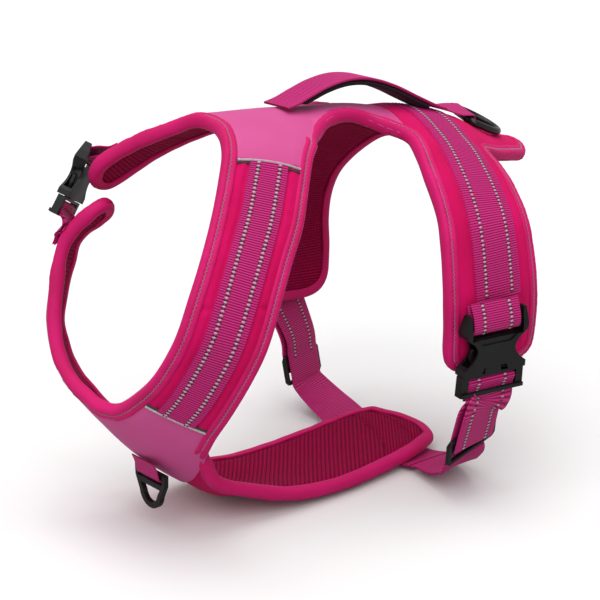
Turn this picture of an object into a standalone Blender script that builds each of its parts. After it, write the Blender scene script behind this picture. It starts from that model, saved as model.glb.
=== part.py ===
"""No-pull dog harness: padded panels, webbing, three side release buckles and two lead rings.

Frame: +Z up, the dog faces -X, its left side is -Y, and the floor is z = 0.
Every length below is in millimetres and is turned into metres by MM. The points are laid out round
the dog's spine line, and the finished harness moves so that its base is centred on the origin.
"""

import math

import bmesh
import bpy
from mathutils import Matrix, Vector

MM = 0.001
BASE_MIDDLE = (18.8, -0.54, 0.33)   # middle of the harness's base; it moves to the origin at the end

# ---- driving dimensions (mm) ----------------------------------------------------------------
LINING = (-4.2, -2.5)      # layer heights over a panel's middle surface: inner mesh lining
CORE = (-2.1, 3.4)         # foam core with its shell fabric
EDGING = (-4.2, 3.9)       # edge binding, folded round both faces
COVER = (3.8, 4.8)         # smooth cover over the yoke and the chest
WEB_ON_PANEL = (3.8, 5.2)  # webbing sewn on a panel
EDGE = 0.07                # share of a panel's width that the binding takes
WEB = 1.6                  # thickness of the girth webbing
THIN_WEB = 1.2             # thickness of the narrow webbing
GIRTH_WEB = 38.0           # width of the girth webbing
NARROW_WEB = 25.0          # width of the shoulder, neck, handle and ring webbing

BUCKLE_THICK = 10.0        # side release buckle for the girth webbing

# ---- panels: matching points on the two edges of each band (mm) ------------------------------
# Neck band, from the right upper arm's tip over the spine, down the left shoulder, across the
# chest and up the right lower arm: (point on the neck edge, point on the leg edge).
NECK_BAND = [
    ((-123.8, 66.2, 217.2), (-102, 80.3, 199)),
    ((-114.5, 57.8, 229.5), (-87.5, 74.8, 209.5)),
    ((-100.5, 42.2, 241.5), (-68.5, 61.2, 225.5)),
    ((-87, 26, 250), (-43, 47, 238.2)),
    ((-78.5, 12.5, 256.5), (-14.5, 36.5, 243)),
    ((-76, 0.5, 256), (-1.5, 0.5, 252.5)),
    ((-79.5, -15.5, 254.5), (-17, -36, 242)),
    ((-87, -30, 246), (-32, -49, 234)),
    ((-96, -38, 232), (-47, -62, 216)),
    ((-106, -45, 216), (-58, -71, 201)),
    ((-116.5, -51.5, 201), (-71, -77, 184)),
    ((-127, -56, 184), (-83, -82, 165)),
    ((-136, -58, 167.5), (-91, -84, 148)),
    ((-142.5, -57, 150.5), (-98, -83.5, 132)),
    ((-146.5, -51, 135), (-105.5, -78, 113)),
    ((-151, -39.5, 116.5), (-111.5, -68, 92.5)),
    ((-154, -22.5, 101), (-113.5, -54.5, 73.8)),
    ((-156.5, -9, 92), (-112, -42, 57)),
    ((-158, 1, 90.5), (-108, -22, 37)),
    ((-158.5, 10, 90), (-103.5, 0, 30)),
    ((-158.5, 20.5, 93), (-107, 21.5, 38)),
    ((-159, 36, 98), (-118.5, 47, 59)),
    ((-158, 50.5, 110.5), (-131, 73, 86)),
    ((-154, 60, 129), (-133, 87, 114)),
    ((-149, 65, 144), (-127.5, 92, 131)),
    ((-143, 69, 165), (-119, 94, 152)),
    ((-135, 68, 182), (-112, 89.5, 172.5)),
    ((-116.5, 52.5, 206.5), (-95, 68.5, 189.5)),
]
RIGHT_CORNER, LEFT_CORNER = 4, 6
YOKE_PIPING, CHEST_PIPING, LEFT_ARMPIT = 7.3, 15.75, 17
RIGHT_YOKE_PIPING, RIGHT_CHEST_PIPING, RIGHT_ARMPIT, LOWER_TIP = 2.7, 21.4, 21, 27

# Girth band, from the right panel's bottom over the spine to the left panel's bottom:
# (point on the front edge, point on the rear edge).
GIRTH_BAND = [
    ((50, 100, 88), (103, 101, 82)),
    ((43, 103, 104), (114, 105, 97)),
    ((38, 104, 122), (117, 107, 120)),
    ((35, 103, 147), (114, 104, 143)),
    ((37, 95, 175), (111, 96, 166)),
    ((41, 84, 195), (110, 85, 183)),
    ((49, 65, 217), (110, 66, 200)),
    ((60, 38, 235), (116, 41, 217)),
    ((68, 0, 244), (134, 0, 228)),
    ((61, -37, 234), (128, -43, 213)),
    ((48.5, -66, 217), (121.5, -70, 201)),
    ((42, -86, 195), (116, -88, 188)),
    ((37, -96, 175), (113, -98, 175)),
    ((34, -102, 147), (111.5, -106, 147)),
    ((35, -102, 122), (113, -106, 126)),
    ((37, -100, 104), (113, -104, 103)),
    ((44, -97, 90), (107, -101, 88)),
]
GIRTH_RIGHT_CORNER, GIRTH_LEFT_CORNER, GIRTH_END = 7, 9, 16

# Bridge along the spine: side edges and middle line between the two bands.
BRIDGE_LEFT = [(1, -25, 250), (16, -21, 252), (30, -21, 250), (41, -24, 244), (51, -30, 239)]
BRIDGE_MIDDLE = [(20, 0, 251), (45, 0, 248.5)]
BRIDGE_RIGHT = [(1, 25, 248), (16, 21, 250), (30, 21, 248.5), (41, 24, 244), (51, 30, 239.5)]

# Tail flap behind the girth band.
TAIL_LEFT = [(146, -38, 207), (166, -32, 203)]
TAIL_MIDDLE = [(155, 0, 217.5), (178, 0, 209.5)]
TAIL_RIGHT = [(138, 39, 210), (164, 33, 205)]
TAIL_TIP = [(185, -25, 199), (196, -13, 200), (199, 0, 203), (196, 13, 201), (186, 25, 199)]

# Belly pad, lined up under the dog's chest; its outer face looks down.
BELLY_LEFT = [(-104, -42, 38), (-80, -43, 25), (-45, -46.5, 12.8), (-4, -48, 8.5), (40, -44.5, 8.8), (75, -39, 10.5)]
BELLY_MIDDLE = [(-80, 0, 14), (-50, 0, 6.5), (-15, 0, 4.8), (20, 0, 5.6), (55, 0, 8.4), (82, 0, 10.5)]
BELLY_RIGHT = [(-103.5, 41, 36), (-79, 41, 19), (-43, 41.5, 8), (4, 42.5, 6), (52, 43.5, 7.8), (84, 43.5, 9.5)]
BELLY_REAR = [(101, 37, 11), (106, 12, 12), (107, -10, 11.5), (99, -30, 11)]

# ---- buckles: centre, upward direction (towards the fixed end), outward direction -------------
LEFT_BUCKLE = ((64, -116.6, 108), (0.0, -0.07, 1.0), (-0.12, -1.0, -0.08))
RIGHT_BUCKLE = ((77, 117.2, 128), (0.0, 0.0, 1.0), (-0.1, 1.0, 0.0))
NECK_BUCKLE = ((-117.5, 83, 211), (0.6, -0.2, 0.77), (-0.48, 0.8, 0.35))
NECK_SCALE = (0.67, 0.9, 0.85)   # neck buckle against the girth buckle: width, length, thickness

# ---- small parts --------------------------------------------------------------------------------
HANDLE_PATH = [(-20, 0, 260.6), (-11, 0, 262.4), (1, 0, 266.3), (16, 0, 270.5), (34, 0, 272.5), (53, 0, 270),
               (73, 0, 263), (94, 0, 252.8), (112, 0, 244.2), (121, 0, 240.8)]
KEEPER_TOP = [(123, 0, 239.5), (131, 0, 237.6), (139, -0.5, 236.2)]   # webbing up to the back ring
KEEPER_WIDTH, KEEPER_TURN = 22.0, 3.7     # and how far from the ring's bar it turns round it
BACK_RING_PIVOT = (147, -1, 231.6)
BACK_RING_AXIS = (0.2, 0.95, 0.2)         # the resting ring leans towards the left side
BACK_RING_REACH_DIRECTION = (28.4, -5.5, -13.0)
BACK_RING_WIRE = 2.5
BACK_RING_HALF_BAR, BACK_RING_REACH = 15.0, 30.0
FRONT_RING_PIVOT = (-130.5, -9, 41)
FRONT_LOOP_TOP = [(-137, -9, 51.2), (-135.1, -9, 46.6)]   # webbing from the chest down to the front ring
FRONT_LOOP_TURN = 3.2

# Girth straps: slider position, then the single layer down to the floor and under the belly pad.
LEFT_SLIDER = ((62, -102, 42), (-0.047, -0.317, 0.947), (0.1, -0.946, -0.312))
LEFT_STRAP_FOOT = [(66.5, -89, 20.5), (70, -79, 13.5), (74, -67, 9), (77, -56, 7), (77, -48, 5.6)]
RIGHT_SLIDER = ((84, 98, 34), (-0.05, 0.2, 1.0), (-0.3, 0.94, -0.2))
RIGHT_STRAP_FOOT = [(87.5, 87.5, 17), (89, 76, 11), (88.5, 64, 7.5), (87.5, 56, 5.6), (86.5, 49, 4.0)]
BELLY_STRAP = [(77, -47, 5.4), (77, -36, 2.9), (78, -24, 1.2), (80, 0, 1.2), (83, 24, 1.2),
               (85, 37, 1.9), (86.5, 48, 3.8)]
LAYER = 2.5                # half the distance between the two strap layers at a slider
SLIDER_THICK = 2.6
LEFT_SKEW = 12.0           # degrees the left slider sits askew on its strap


def colour(name, rgb, roughness, metallic=0.0):
    """Own Principled material for one piece."""
    material = bpy.data.materials.new(name)
    material.use_nodes = True
    shader = material.node_tree.nodes["Principled BSDF"]
    shader.inputs["Base Color"].default_value = (*rgb, 1.0)
    shader.inputs["Roughness"].default_value = roughness
    shader.inputs["Metallic"].default_value = metallic
    return material


SHELL = ((0.72, 0.02, 0.25), 0.75)
MESH = ((0.42, 0.01, 0.12), 0.9)
SMOOTH = ((0.80, 0.10, 0.42), 0.45)
WEBBING = ((0.62, 0.02, 0.32), 0.6)
TAPE = ((0.66, 0.02, 0.22), 0.7)
REFLECTIVE = ((0.75, 0.75, 0.76), 0.35)
PLASTIC = ((0.02, 0.02, 0.022), 0.4)
GRIP = ((0.03, 0.03, 0.03), 0.85)


def metres(point):
    return Vector(point) * MM


def add_object(name, bm, finish, origin=None):
    """Closed body from a bmesh in world metres; its origin moves to the joint's axis if given."""
    bmesh.ops.recalc_face_normals(bm, faces=bm.faces)
    if bm.calc_volume(signed=True) < 0:
        bmesh.ops.reverse_faces(bm, faces=bm.faces)
    if origin is not None:
        bmesh.ops.translate(bm, verts=bm.verts, vec=-Vector(origin))
    mesh = bpy.data.meshes.new(name)
    bm.to_mesh(mesh)
    bm.free()
    mesh.shade_smooth()
    mesh.set_sharp_from_angle(angle=math.radians(40))
    mesh.materials.append(colour(name, *finish))
    piece = bpy.data.objects.new(name, mesh)
    if origin is not None:
        piece.location = origin
    bpy.context.collection.objects.link(piece)
    return piece


# ---- curves and surfaces ---------------------------------------------------------------------------
def spline(points, t):
    """Point at t in [0, len - 1] on the Catmull-Rom curve through the points (mm vectors)."""
    last = len(points) - 1
    i = min(int(t), last - 1) if t > 0 else 0
    f = t - i
    p1, p2 = points[i], points[i + 1]
    p0 = points[i - 1] if i > 0 else p1 * 2 - p2
    p3 = points[i + 2] if i + 2 <= last else p2 * 2 - p1
    return 0.5 * (2 * p1 + (p2 - p0) * f + (2 * p0 - 5 * p1 + 4 * p2 - p3) * f ** 2
                  + (3 * p1 - p0 - 3 * p2 + p3) * f ** 3)


def vectors(points):
    return [Vector(point) for point in points]


class Band:
    """Surface between two matching edges; u counts the named stations, v runs 0 to 1 across."""

    def __init__(self, stations, crown):
        self.a = vectors([station[0] for station in stations])
        self.b = vectors([station[1] for station in stations])
        self.crown = crown

    def point(self, u, v):
        near, far = spline(self.a, u), spline(self.b, u)
        step = 0.01
        along = spline(self.a, u + step) + spline(self.b, u + step) - near - far
        out = along.cross(far - near).normalized()
        return near.lerp(far, v) + out * self.crown(u) * 4 * v * (1 - v)


class Patch:
    """Surface whose ends lie on other edges; u runs front to rear and v from side to side."""

    def __init__(self, front, rear, left, middle, right):
        self.front, self.rear = front, rear
        self.left = [front(0)] + vectors(left) + [rear(0)]
        self.middle = [front(0.5)] + vectors(middle) + [rear(0.5)]
        self.right = [front(1)] + vectors(right) + [rear(1)]

    def arch(self, u, v):
        sides = [spline(line, u * (len(line) - 1)) for line in (self.left, self.middle, self.right)]
        a, m, b = sides
        return a * (1 - v) * (1 - 2 * v) + m * 4 * v * (1 - v) + b * v * (2 * v - 1)

    def point(self, u, v):
        from_front = (self.front(v) - self.arch(0, v)) * (1 - u) ** 3
        from_rear = (self.rear(v) - self.arch(1, v)) * u ** 3
        return self.arch(u, v) + from_front + from_rear


def normal(surface, u, v):
    """Outward unit normal by differences that stay inside the surface."""
    step = 0.02
    u0, u1 = max(u - step, 0), u + step
    v0, v1 = max(v - step, 0), min(v + step, 1)
    along = surface.point(u1, v) - surface.point(u0, v)
    across = surface.point(u, v1) - surface.point(u, v0)
    return along.cross(across).normalized()


def raised(surface, u, v, height):
    return surface.point(u, v) + normal(surface, u, v) * height


def spread(low, high, count):
    return [low + (high - low) * i / count for i in range(count + 1)]


def slab(bm, bottom, top):
    """Closed body between two equal grids of points."""
    rows, columns = len(bottom), len(bottom[0])
    layers = [[[bm.verts.new(point) for point in row] for row in grid] for grid in (bottom, top)]
    low, high = layers
    for i in range(rows - 1):
        for j in range(columns - 1):
            bm.faces.new((low[i][j], low[i][j + 1], low[i + 1][j + 1], low[i + 1][j]))
            bm.faces.new((high[i][j], high[i + 1][j], high[i + 1][j + 1], high[i][j + 1]))
    rim = [(i, 0) for i in range(rows)] + [(rows - 1, j) for j in range(1, columns)]
    rim += [(i, columns - 1) for i in range(rows - 2, -1, -1)] + [(0, j) for j in range(columns - 2, 0, -1)]
    for (i, j), (k, m) in zip(rim, rim[1:] + rim[:1]):
        bm.faces.new((low[i][j], low[k][m], high[k][m], high[i][j]))


def sheet(name, surface, us, vs, heights, finish):
    """One fabric layer of a panel between two heights over the panel's middle surface."""
    across_at = vs if callable(vs) else (lambda u: vs)
    grids = []
    for height in heights:
        grids.append([[raised(surface, u, v, height) * MM for v in across_at(u)] for u in us])
    bm = bmesh.new()
    slab(bm, *grids)
    return add_object(name, bm, finish)


def ribbon(name, path, sides, width, thickness, finish, count=None):
    """Webbing along a path in mm; sides holds its width direction at points spread over the path.

    With a count the path is read as a smooth curve, otherwise its points are used as they are."""
    points, sides = vectors(path), vectors(sides)
    samples = spread(0, len(points) - 1, count) if count else range(len(points))
    spots = [spline(points, t) for t in samples]
    bottom, top = [], []
    for index, spot in enumerate(spots):
        ahead = spots[min(index + 1, len(spots) - 1)] - spots[max(index - 1, 0)]
        side = spline(sides, index / (len(spots) - 1) * (len(sides) - 1)) if len(sides) > 1 else sides[0]
        side = (side - ahead * side.dot(ahead) / ahead.length_squared).normalized()
        out = ahead.cross(side).normalized()
        for grid, height in ((bottom, -thickness / 2), (top, thickness / 2)):
            grid.append([(spot + side * s * width / 2 + out * height) * MM for s in (-1, 1)])
    bm = bmesh.new()
    slab(bm, bottom, top)
    return add_object(name, bm, finish)


def plate(bm, outline, low, high, place):
    """Extruded outline (mm, in the x-y plane) between two z heights, moved by a matrix."""
    rings = []
    for z in (low, high):
        rings.append([bm.verts.new(place @ Vector((x, y, z))) for x, y in outline])
    bm.faces.new(list(reversed(rings[0])))
    bm.faces.new(rings[1])
    count = len(outline)
    for i in range(count):
        k = (i + 1) % count
        bm.faces.new((rings[0][i], rings[0][k], rings[1][k], rings[1][i]))


def arc(centre, radius, start, end, count):
    """Points on an arc in degrees, ends included."""
    angles = [math.radians(a) for a in spread(start, end, count)]
    return [(centre[0] + radius * math.cos(a), centre[1] + radius * math.sin(a)) for a in angles]


def both_sides(half):
    """Outline from its right half, given bottom to top."""
    return half + [(-x, y) for x, y in reversed(half)]


def box_outline(x0, x1, y0, y1):
    return [(x0, y0), (x1, y0), (x1, y1), (x0, y1)]


def placed(centre, up, out, scale=(1, 1, 1)):
    """Matrix from a buckle's own frame (x across, y up, z out; mm) to world metres."""
    z = Vector(out).normalized()
    y = (Vector(up) - z * Vector(up).dot(z)).normalized()
    x = y.cross(z)
    turn = Matrix((x, y, z)).transposed().to_4x4()
    return Matrix.Translation(metres(centre)) @ turn @ Matrix.Diagonal((*[s * MM for s in scale], 1))


def boolean(target, steps):
    """Exact booleans kept as modifiers: each step is a hidden guide's bmesh and its operation."""
    for index, (bm, operation) in enumerate(steps):
        bmesh.ops.recalc_face_normals(bm, faces=bm.faces)
        if bm.calc_volume(signed=True) < 0:
            bmesh.ops.reverse_faces(bm, faces=bm.faces)
        mesh = bpy.data.meshes.new(f"{target.name}_guide_{index}")
        bm.to_mesh(mesh)
        bm.free()
        guide = bpy.data.objects.new(mesh.name, mesh)
        guide.hide_render = True
        guide.display_type = "WIRE"
        bpy.context.collection.objects.link(guide)
        modifier = target.modifiers.new(f"step_{index}", "BOOLEAN")
        modifier.operation = operation
        modifier.solver = "EXACT"
        modifier.object = guide


def guide_plate(outline, low, high, place):
    bm = bmesh.new()
    plate(bm, outline, low, high, place)
    return bm


# ---- padded panels -----------------------------------------------------------------------------------
def chest_crown(u):
    """The shoulder band is gently crowned; the chest plate bulges forward at the middle line."""
    return 1.5 + 2.8 * math.exp(-((u - 19.2) / 2.2) ** 2)


NECK = Band(NECK_BAND, chest_crown)
GIRTH = Band(GIRTH_BAND, lambda u: 2.5)


def between(edge, start, end):
    """Stretch of a band's edge as a curve over 0 to 1."""
    return lambda t: spline(edge, start + (end - start) * t)


BRIDGE = Patch(between(NECK.b, LEFT_CORNER, RIGHT_CORNER), between(GIRTH.a, GIRTH_LEFT_CORNER, GIRTH_RIGHT_CORNER),
               BRIDGE_LEFT, BRIDGE_MIDDLE, BRIDGE_RIGHT)
TAIL = Patch(between(GIRTH.b, GIRTH_LEFT_CORNER, GIRTH_RIGHT_CORNER),
             lambda t: spline(vectors(TAIL_TIP), t * (len(TAIL_TIP) - 1)),
             TAIL_LEFT, TAIL_MIDDLE, TAIL_RIGHT)
BELLY = Patch(between(NECK.b, RIGHT_ARMPIT, LEFT_ARMPIT),
              lambda t: spline(vectors(BELLY_REAR), t * (len(BELLY_REAR) - 1)),
              BELLY_RIGHT, BELLY_MIDDLE, BELLY_LEFT)

INNER = (EDGE + 0.008, 1 - EDGE - 0.008)


def panel(name, surface, us, vs):
    """Foam core with its lining under it."""
    sheet(name + "_pad", surface, us, vs, CORE, SHELL)
    sheet(name + "_lining", surface, us, vs, LINING, MESH)


def widened(count, low_joins=(), high_joins=()):
    """Across positions that reach a neighbouring panel's edge inside the given stretches of u."""
    def across_at(u):
        low = 0.007 if any(start <= u <= end for start, end in low_joins) else INNER[0]
        high = 0.993 if any(start <= u <= end for start, end in high_joins) else INNER[1]
        return spread(low, high, count)
    return across_at


NECK_JOIN = (RIGHT_CORNER + 0.35, LEFT_CORNER - 0.35)
CHEST_JOIN = (LEFT_ARMPIT + 0.3, RIGHT_ARMPIT - 0.3)
GIRTH_JOIN = (GIRTH_RIGHT_CORNER + 0.2, GIRTH_LEFT_CORNER - 0.2)


def stations(*stretches):
    """Positions along a band: (start, end, steps) stretches, shared ends listed once."""
    result = [stretches[0][0]]
    for start, end, steps in stretches:
        result += spread(start, end, steps)[0 if start != result[-1] else 1:]
    return result


GIRTH_US = stations((0.15, GIRTH_RIGHT_CORNER - 0.1, 14), (*GIRTH_JOIN, 5),
                    (GIRTH_LEFT_CORNER + 0.1, GIRTH_END - 0.15, 14))


def make_panels():
    side = spread(INNER[0], INNER[1], 4)
    panel("upper_neck_arm", NECK, spread(0.12, RIGHT_CORNER - 0.55, 13), side)
    panel("yoke", NECK, stations((RIGHT_CORNER - 0.5, RIGHT_CORNER - 0.1, 2), (*NECK_JOIN, 5),
                                 (LEFT_CORNER + 0.1, YOKE_PIPING - 0.03, 4)), widened(5, (), [NECK_JOIN]))
    panel("left_shoulder", NECK, spread(YOKE_PIPING + 0.03, CHEST_PIPING - 0.03, 16), side)
    panel("chest", NECK, stations((CHEST_PIPING + 0.03, LEFT_ARMPIT, 2), (*CHEST_JOIN, 8),
                                  (RIGHT_ARMPIT, RIGHT_CHEST_PIPING - 0.03, 1)), widened(5, (), [CHEST_JOIN]))
    panel("lower_neck_arm", NECK, spread(RIGHT_CHEST_PIPING + 0.03, LOWER_TIP - 0.15, 10), side)
    panel("girth", GIRTH, GIRTH_US, widened(4, [GIRTH_JOIN], [GIRTH_JOIN]))
    panel("belly", BELLY, spread(0.012, 0.95, 16), spread(0.085, 0.915, 6))
    sheet("bridge_pad", BRIDGE, spread(0.04, 0.985, 8), spread(0.125, 0.875, 4), CORE, SHELL)
    sheet("tail_pad", TAIL, spread(0.015, 0.89, 6), spread(0.115, 0.885, 4), CORE, SHELL)


def side_sections(surface, us, outer, inner):
    """Cross-sections of a binding that runs along a surface's u direction."""
    low, high = EDGING
    return [[raised(surface, u, v, h) for v, h in ((inner, low), (outer, low), (outer, high), (inner, high))]
            for u in us]


def end_sections(surface, vs, outer, inner):
    """Cross-sections of a binding round a surface's end, along its v direction."""
    low, high = EDGING
    return [[raised(surface, u, v, h) for u, h in ((inner, low), (outer, low), (outer, high), (inner, high))]
            for v in vs]


def binding(name, sections):
    """Edge binding as one closed bar through its four-cornered sections."""
    bm = bmesh.new()
    rings = [[bm.verts.new(point * MM) for point in section] for section in sections]
    for near, far in zip(rings, rings[1:]):
        for i in range(4):
            k = (i + 1) % 4
            bm.faces.new((near[i], near[k], far[k], far[i]))
    bm.faces.new(list(reversed(rings[0])))
    bm.faces.new(rings[-1])
    add_object(name, bm, TAPE)


def make_edgings():
    far_in = 1 - EDGE
    tip = spread(INNER[0], INNER[1], 3)
    binding("neck_edging", side_sections(NECK, spread(0.12, LOWER_TIP - 0.15, 54), 0.0, EDGE)
            + end_sections(NECK, tip, LOWER_TIP, LOWER_TIP - 0.12)
            + side_sections(NECK, spread(LOWER_TIP - 0.15, RIGHT_ARMPIT + 0.15, 10), 1.0, far_in))
    binding("left_leg_edging", side_sections(NECK, spread(LEFT_ARMPIT - 0.15, LEFT_CORNER + 0.15, 18), 1.0, far_in)
            + side_sections(BRIDGE, spread(0.03, 0.97, 8), 0.0, 0.085)
            + side_sections(GIRTH, spread(GIRTH_LEFT_CORNER + 0.15, GIRTH_END - 0.15, 14), 0.0, EDGE))
    binding("right_leg_edging", end_sections(NECK, tip, 0.0, 0.09)
            + side_sections(NECK, spread(0.12, RIGHT_CORNER - 0.15, 14), 1.0, far_in)
            + side_sections(BRIDGE, spread(0.03, 0.97, 8), 1.0, 0.915)
            + side_sections(GIRTH, spread(GIRTH_RIGHT_CORNER - 0.15, 0.15, 14), 0.0, EDGE))
    binding("rear_edging", end_sections(GIRTH, tip, 0.0, 0.12)
            + side_sections(GIRTH, spread(0.15, GIRTH_RIGHT_CORNER - 0.15, 14), 1.0, far_in)
            + side_sections(TAIL, spread(0.05, 0.88, 5), 1.0, 0.905)
            + end_sections(TAIL, spread(0.88, 0.12, 6), 0.995, 0.91)
            + side_sections(TAIL, spread(0.88, 0.05, 5), 0.0, 0.095)
            + side_sections(GIRTH, spread(GIRTH_LEFT_CORNER + 0.15, GIRTH_END - 0.15, 14), 1.0, far_in)
            + end_sections(GIRTH, tip[::-1], GIRTH_END, GIRTH_END - 0.12))
    binding("belly_edging", side_sections(BELLY, spread(0.04, 0.95, 16), 0.0, 0.075)
            + end_sections(BELLY, spread(0.09, 0.91, 6), 0.995, 0.96)
            + side_sections(BELLY, spread(0.95, 0.04, 16), 1.0, 0.925))


def make_covers():
    sheet("yoke_cover", NECK, stations((RIGHT_YOKE_PIPING + 0.06, RIGHT_CORNER - 0.1, 3), (*NECK_JOIN, 5),
                                       (LEFT_CORNER + 0.1, YOKE_PIPING - 0.1, 4)),
          widened(5, (), [NECK_JOIN]), COVER, SMOOTH)
    sheet("bridge_cover", BRIDGE, spread(0.05, 0.93, 8), spread(0.14, 0.86, 4), COVER, SMOOTH)
    sheet("chest_cover", NECK, spread(CHEST_PIPING + 0.1, RIGHT_CHEST_PIPING - 0.1, 14),
          spread(INNER[0], 0.9, 5), COVER, SMOOTH)
    for name, u in (("yoke_piping", YOKE_PIPING), ("chest_piping", CHEST_PIPING)):
        sheet(name, NECK, spread(u - 0.06, u - 0.01, 1), spread(0.1, 0.9, 6), (3.8, 6.2), REFLECTIVE)


def make_panel_webbing():
    narrow = spread(0.29, 0.71, 2)
    sheet("left_shoulder_webbing", NECK, spread(YOKE_PIPING + 0.05, CHEST_PIPING - 0.12, 18),
          narrow, WEB_ON_PANEL, WEBBING)
    top, bottom = 3.75, 13.05
    girth_us = [top] + [u for u in GIRTH_US if top < u < bottom] + [bottom]
    sheet("girth_webbing", GIRTH, girth_us, spread(0.25, 0.78, 3), WEB_ON_PANEL, WEBBING)
    sheet("upper_arm_webbing", NECK, spread(1.45, RIGHT_YOKE_PIPING - 0.05, 4), spread(0.25, 0.75, 2),
          WEB_ON_PANEL, WEBBING)
    sheet("lower_arm_webbing", NECK, spread(RIGHT_CHEST_PIPING + 0.1, 24.2, 7), spread(0.2, 0.8, 4),
          WEB_ON_PANEL, WEBBING)


# ---- side release buckles ---------------------------------------------------------------------------------
def buckle(prefix, frame, scale=(1, 1, 1)):
    """Female shell, male body and two latch arms, in the buckle's own frame."""
    place = placed(*frame, scale)
    half = BUCKLE_THICK / 2
    waist = [(22, -7.6), (18.6, -4.8), (16.2, -1.8), (15.2, 1.2), (15.8, 4.2), (18, 7.4), (21, 9.6), (24, 12)]
    posts = [(25, 15), (24.6, 21), (23.4, 27.5), (21.2, 27.5), (20.4, 19)]
    outline = both_sides([(25, -14), (25, -9.8)] + waist + posts)
    bm = bmesh.new()
    plate(bm, outline, -half, half, place)
    female = add_object(prefix + "_female", bm, PLASTIC)
    cavity = guide_plate(box_outline(-22, 22, -15, 7.5), -3.3, 3.3, place)
    slot = guide_plate(box_outline(-20, 20, 10.8, 15.6), -half - 1, half + 1, place)
    bar_front = guide_plate(box_outline(-20.7, 20.7, 10.3, 20.5), 1.4, half + 1, place)
    bar_back = guide_plate(box_outline(-20.5, 20.5, 10.5, 20.3), -half - 1, -1.4, place)
    notch = guide_plate([(-12, -15.7), (12, -15.7), (9, -9.5), (-9, -9.5)], 0, half + 1, place)
    dish = guide_plate([(-11.5, 6.4), (11.5, 6.4), (17.5, 11.2), (-17.5, 11.2)], 4.0, half + 1, place)
    sideways = place @ Matrix.Rotation(math.radians(-90), 4, "Y")
    wedges = [(5.7, 12), (5.7, 29), (2.3, 29)], [(-5.7, 12), (-2.3, 29), (-5.7, 29)]
    tapers = [guide_plate(wedge, -30, 30, sideways) for wedge in wedges]
    boolean(female, [(bm, "DIFFERENCE") for bm in (cavity, slot, bar_front, bar_back, notch, dish, *tapers)])

    bm = bmesh.new()
    body = both_sides([(25.5, -28.8), (25.2, -14.4), (6.5, -14.4), (5.5, 2)])
    plate(bm, body, -3.0, 3.0, place)
    male = add_object(prefix + "_male", bm, PLASTIC)
    window = guide_plate(box_outline(-19.6, 19.6, -25.6, -16.4), -6, 6, place)
    front_rail = guide_plate(box_outline(-25.2, 25.2, -28.5, -25.9), 1.0, 4.6, place)
    under_rail = guide_plate(box_outline(-19.4, 19.4, -30, -25.2), -6, 2.3, place)
    middle_bar = guide_plate(box_outline(-20.5, 20.5, -21.6, -19.2), -1.1, 1.1, place)
    boolean(male, [(window, "DIFFERENCE"), (front_rail, "UNION"), (under_rail, "DIFFERENCE"), (middle_bar, "UNION")])

    for side, sign in (("left", -1), ("right", 1)):
        arm = [(8.5, -13.6), (14.5, -13.6), (16.6, -8), (18.4, -3.5), (18.4, 2.4), (16.6, 4.0), (15.2, 3.2),
               (15.2, 0), (13.2, -6), (10.5, -11), (8.5, -12)]
        bm = bmesh.new()
        plate(bm, [(sign * x, y) for x, y in arm], -1.2, 1.2, place)
        pivot = place @ Vector((sign * 12, -12.4, 0))
        add_object(f"{prefix}_{side}_latch", bm, PLASTIC, origin=pivot)
    return place


def buckle_point(place, out, up):
    """World point in mm for a place in a buckle's middle plane."""
    return place @ Vector((0, up, out)) / MM


def across(place):
    return (place.to_3x3() @ Vector((1, 0, 0))).normalized()


def webbing_loop(name, place, width, thickness, under, over):
    """Webbing folded round the female half's bar; under and over are (out, up) points of its two ends."""
    path = under + arc((0, 17.2), 3.3, 180, 360, 6) + over
    ribbon(name, [buckle_point(place, out, up) for out, up in path], [across(place)], width, thickness, WEBBING)


BAR_TURN = [(1.1, -25.2)] + arc((0, -20.4), 2.7, 0, 180, 6) + [(-2.5, -25.2)]


def strap_round_bar(place):
    """Points of a strap that comes up in front, turns over the male half's bar and goes down behind."""
    path = [(0.9, -35), (1.0, -29.5), *BAR_TURN, (-2.3, -29.5), (-2.3, -35)]
    return [buckle_point(place, out, up) for out, up in path]


# ---- rings, handle, straps and sliders ----------------------------------------------------------------------
def back_ring_directions():
    """Along the back ring's bar, out to its far end, and square to the ring."""
    bar = Vector(BACK_RING_AXIS).normalized()
    reach = Vector(BACK_RING_REACH_DIRECTION)
    reach = (reach - bar * reach.dot(bar)).normalized()
    return bar, reach, bar.cross(reach)


def back_ring():
    """D-shaped wire ring, its straight bar on the hinge axis."""
    pivot = metres(BACK_RING_PIVOT)
    bar, reach, lift = back_ring_directions()
    middle = BACK_RING_REACH * 0.42
    bow = [(middle + (BACK_RING_REACH - middle) * math.cos(a), (BACK_RING_HALF_BAR + 2.5) * math.sin(a))
           for a in (math.radians(d) for d in spread(-90, 90, 10))]
    loop = vectors([(0, -BACK_RING_HALF_BAR)] + bow + [(0, BACK_RING_HALF_BAR)])
    count, sides = len(loop), 8
    bm = bmesh.new()
    rings = []
    for index, spot in enumerate(loop):
        ahead = (spot - loop[index - 1]).normalized() + (loop[(index + 1) % count] - spot).normalized()
        ahead.normalize()
        outward = Vector((ahead.y, -ahead.x))
        ring = []
        for angle in spread(22.5, 337.5, sides - 1):
            a = math.radians(angle)
            flat = spot + outward * BACK_RING_WIRE * math.cos(a)
            corner = reach * flat.x + bar * flat.y + lift * BACK_RING_WIRE * math.sin(a)
            ring.append(bm.verts.new(pivot + corner * MM))
        rings.append(ring)
    for i in range(count):
        k = (i + 1) % count
        for j in range(sides):
            m = (j + 1) % sides
            bm.faces.new((rings[i][j], rings[i][m], rings[k][m], rings[k][j]))
    add_object("back_d_ring", bm, PLASTIC, origin=pivot)


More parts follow.
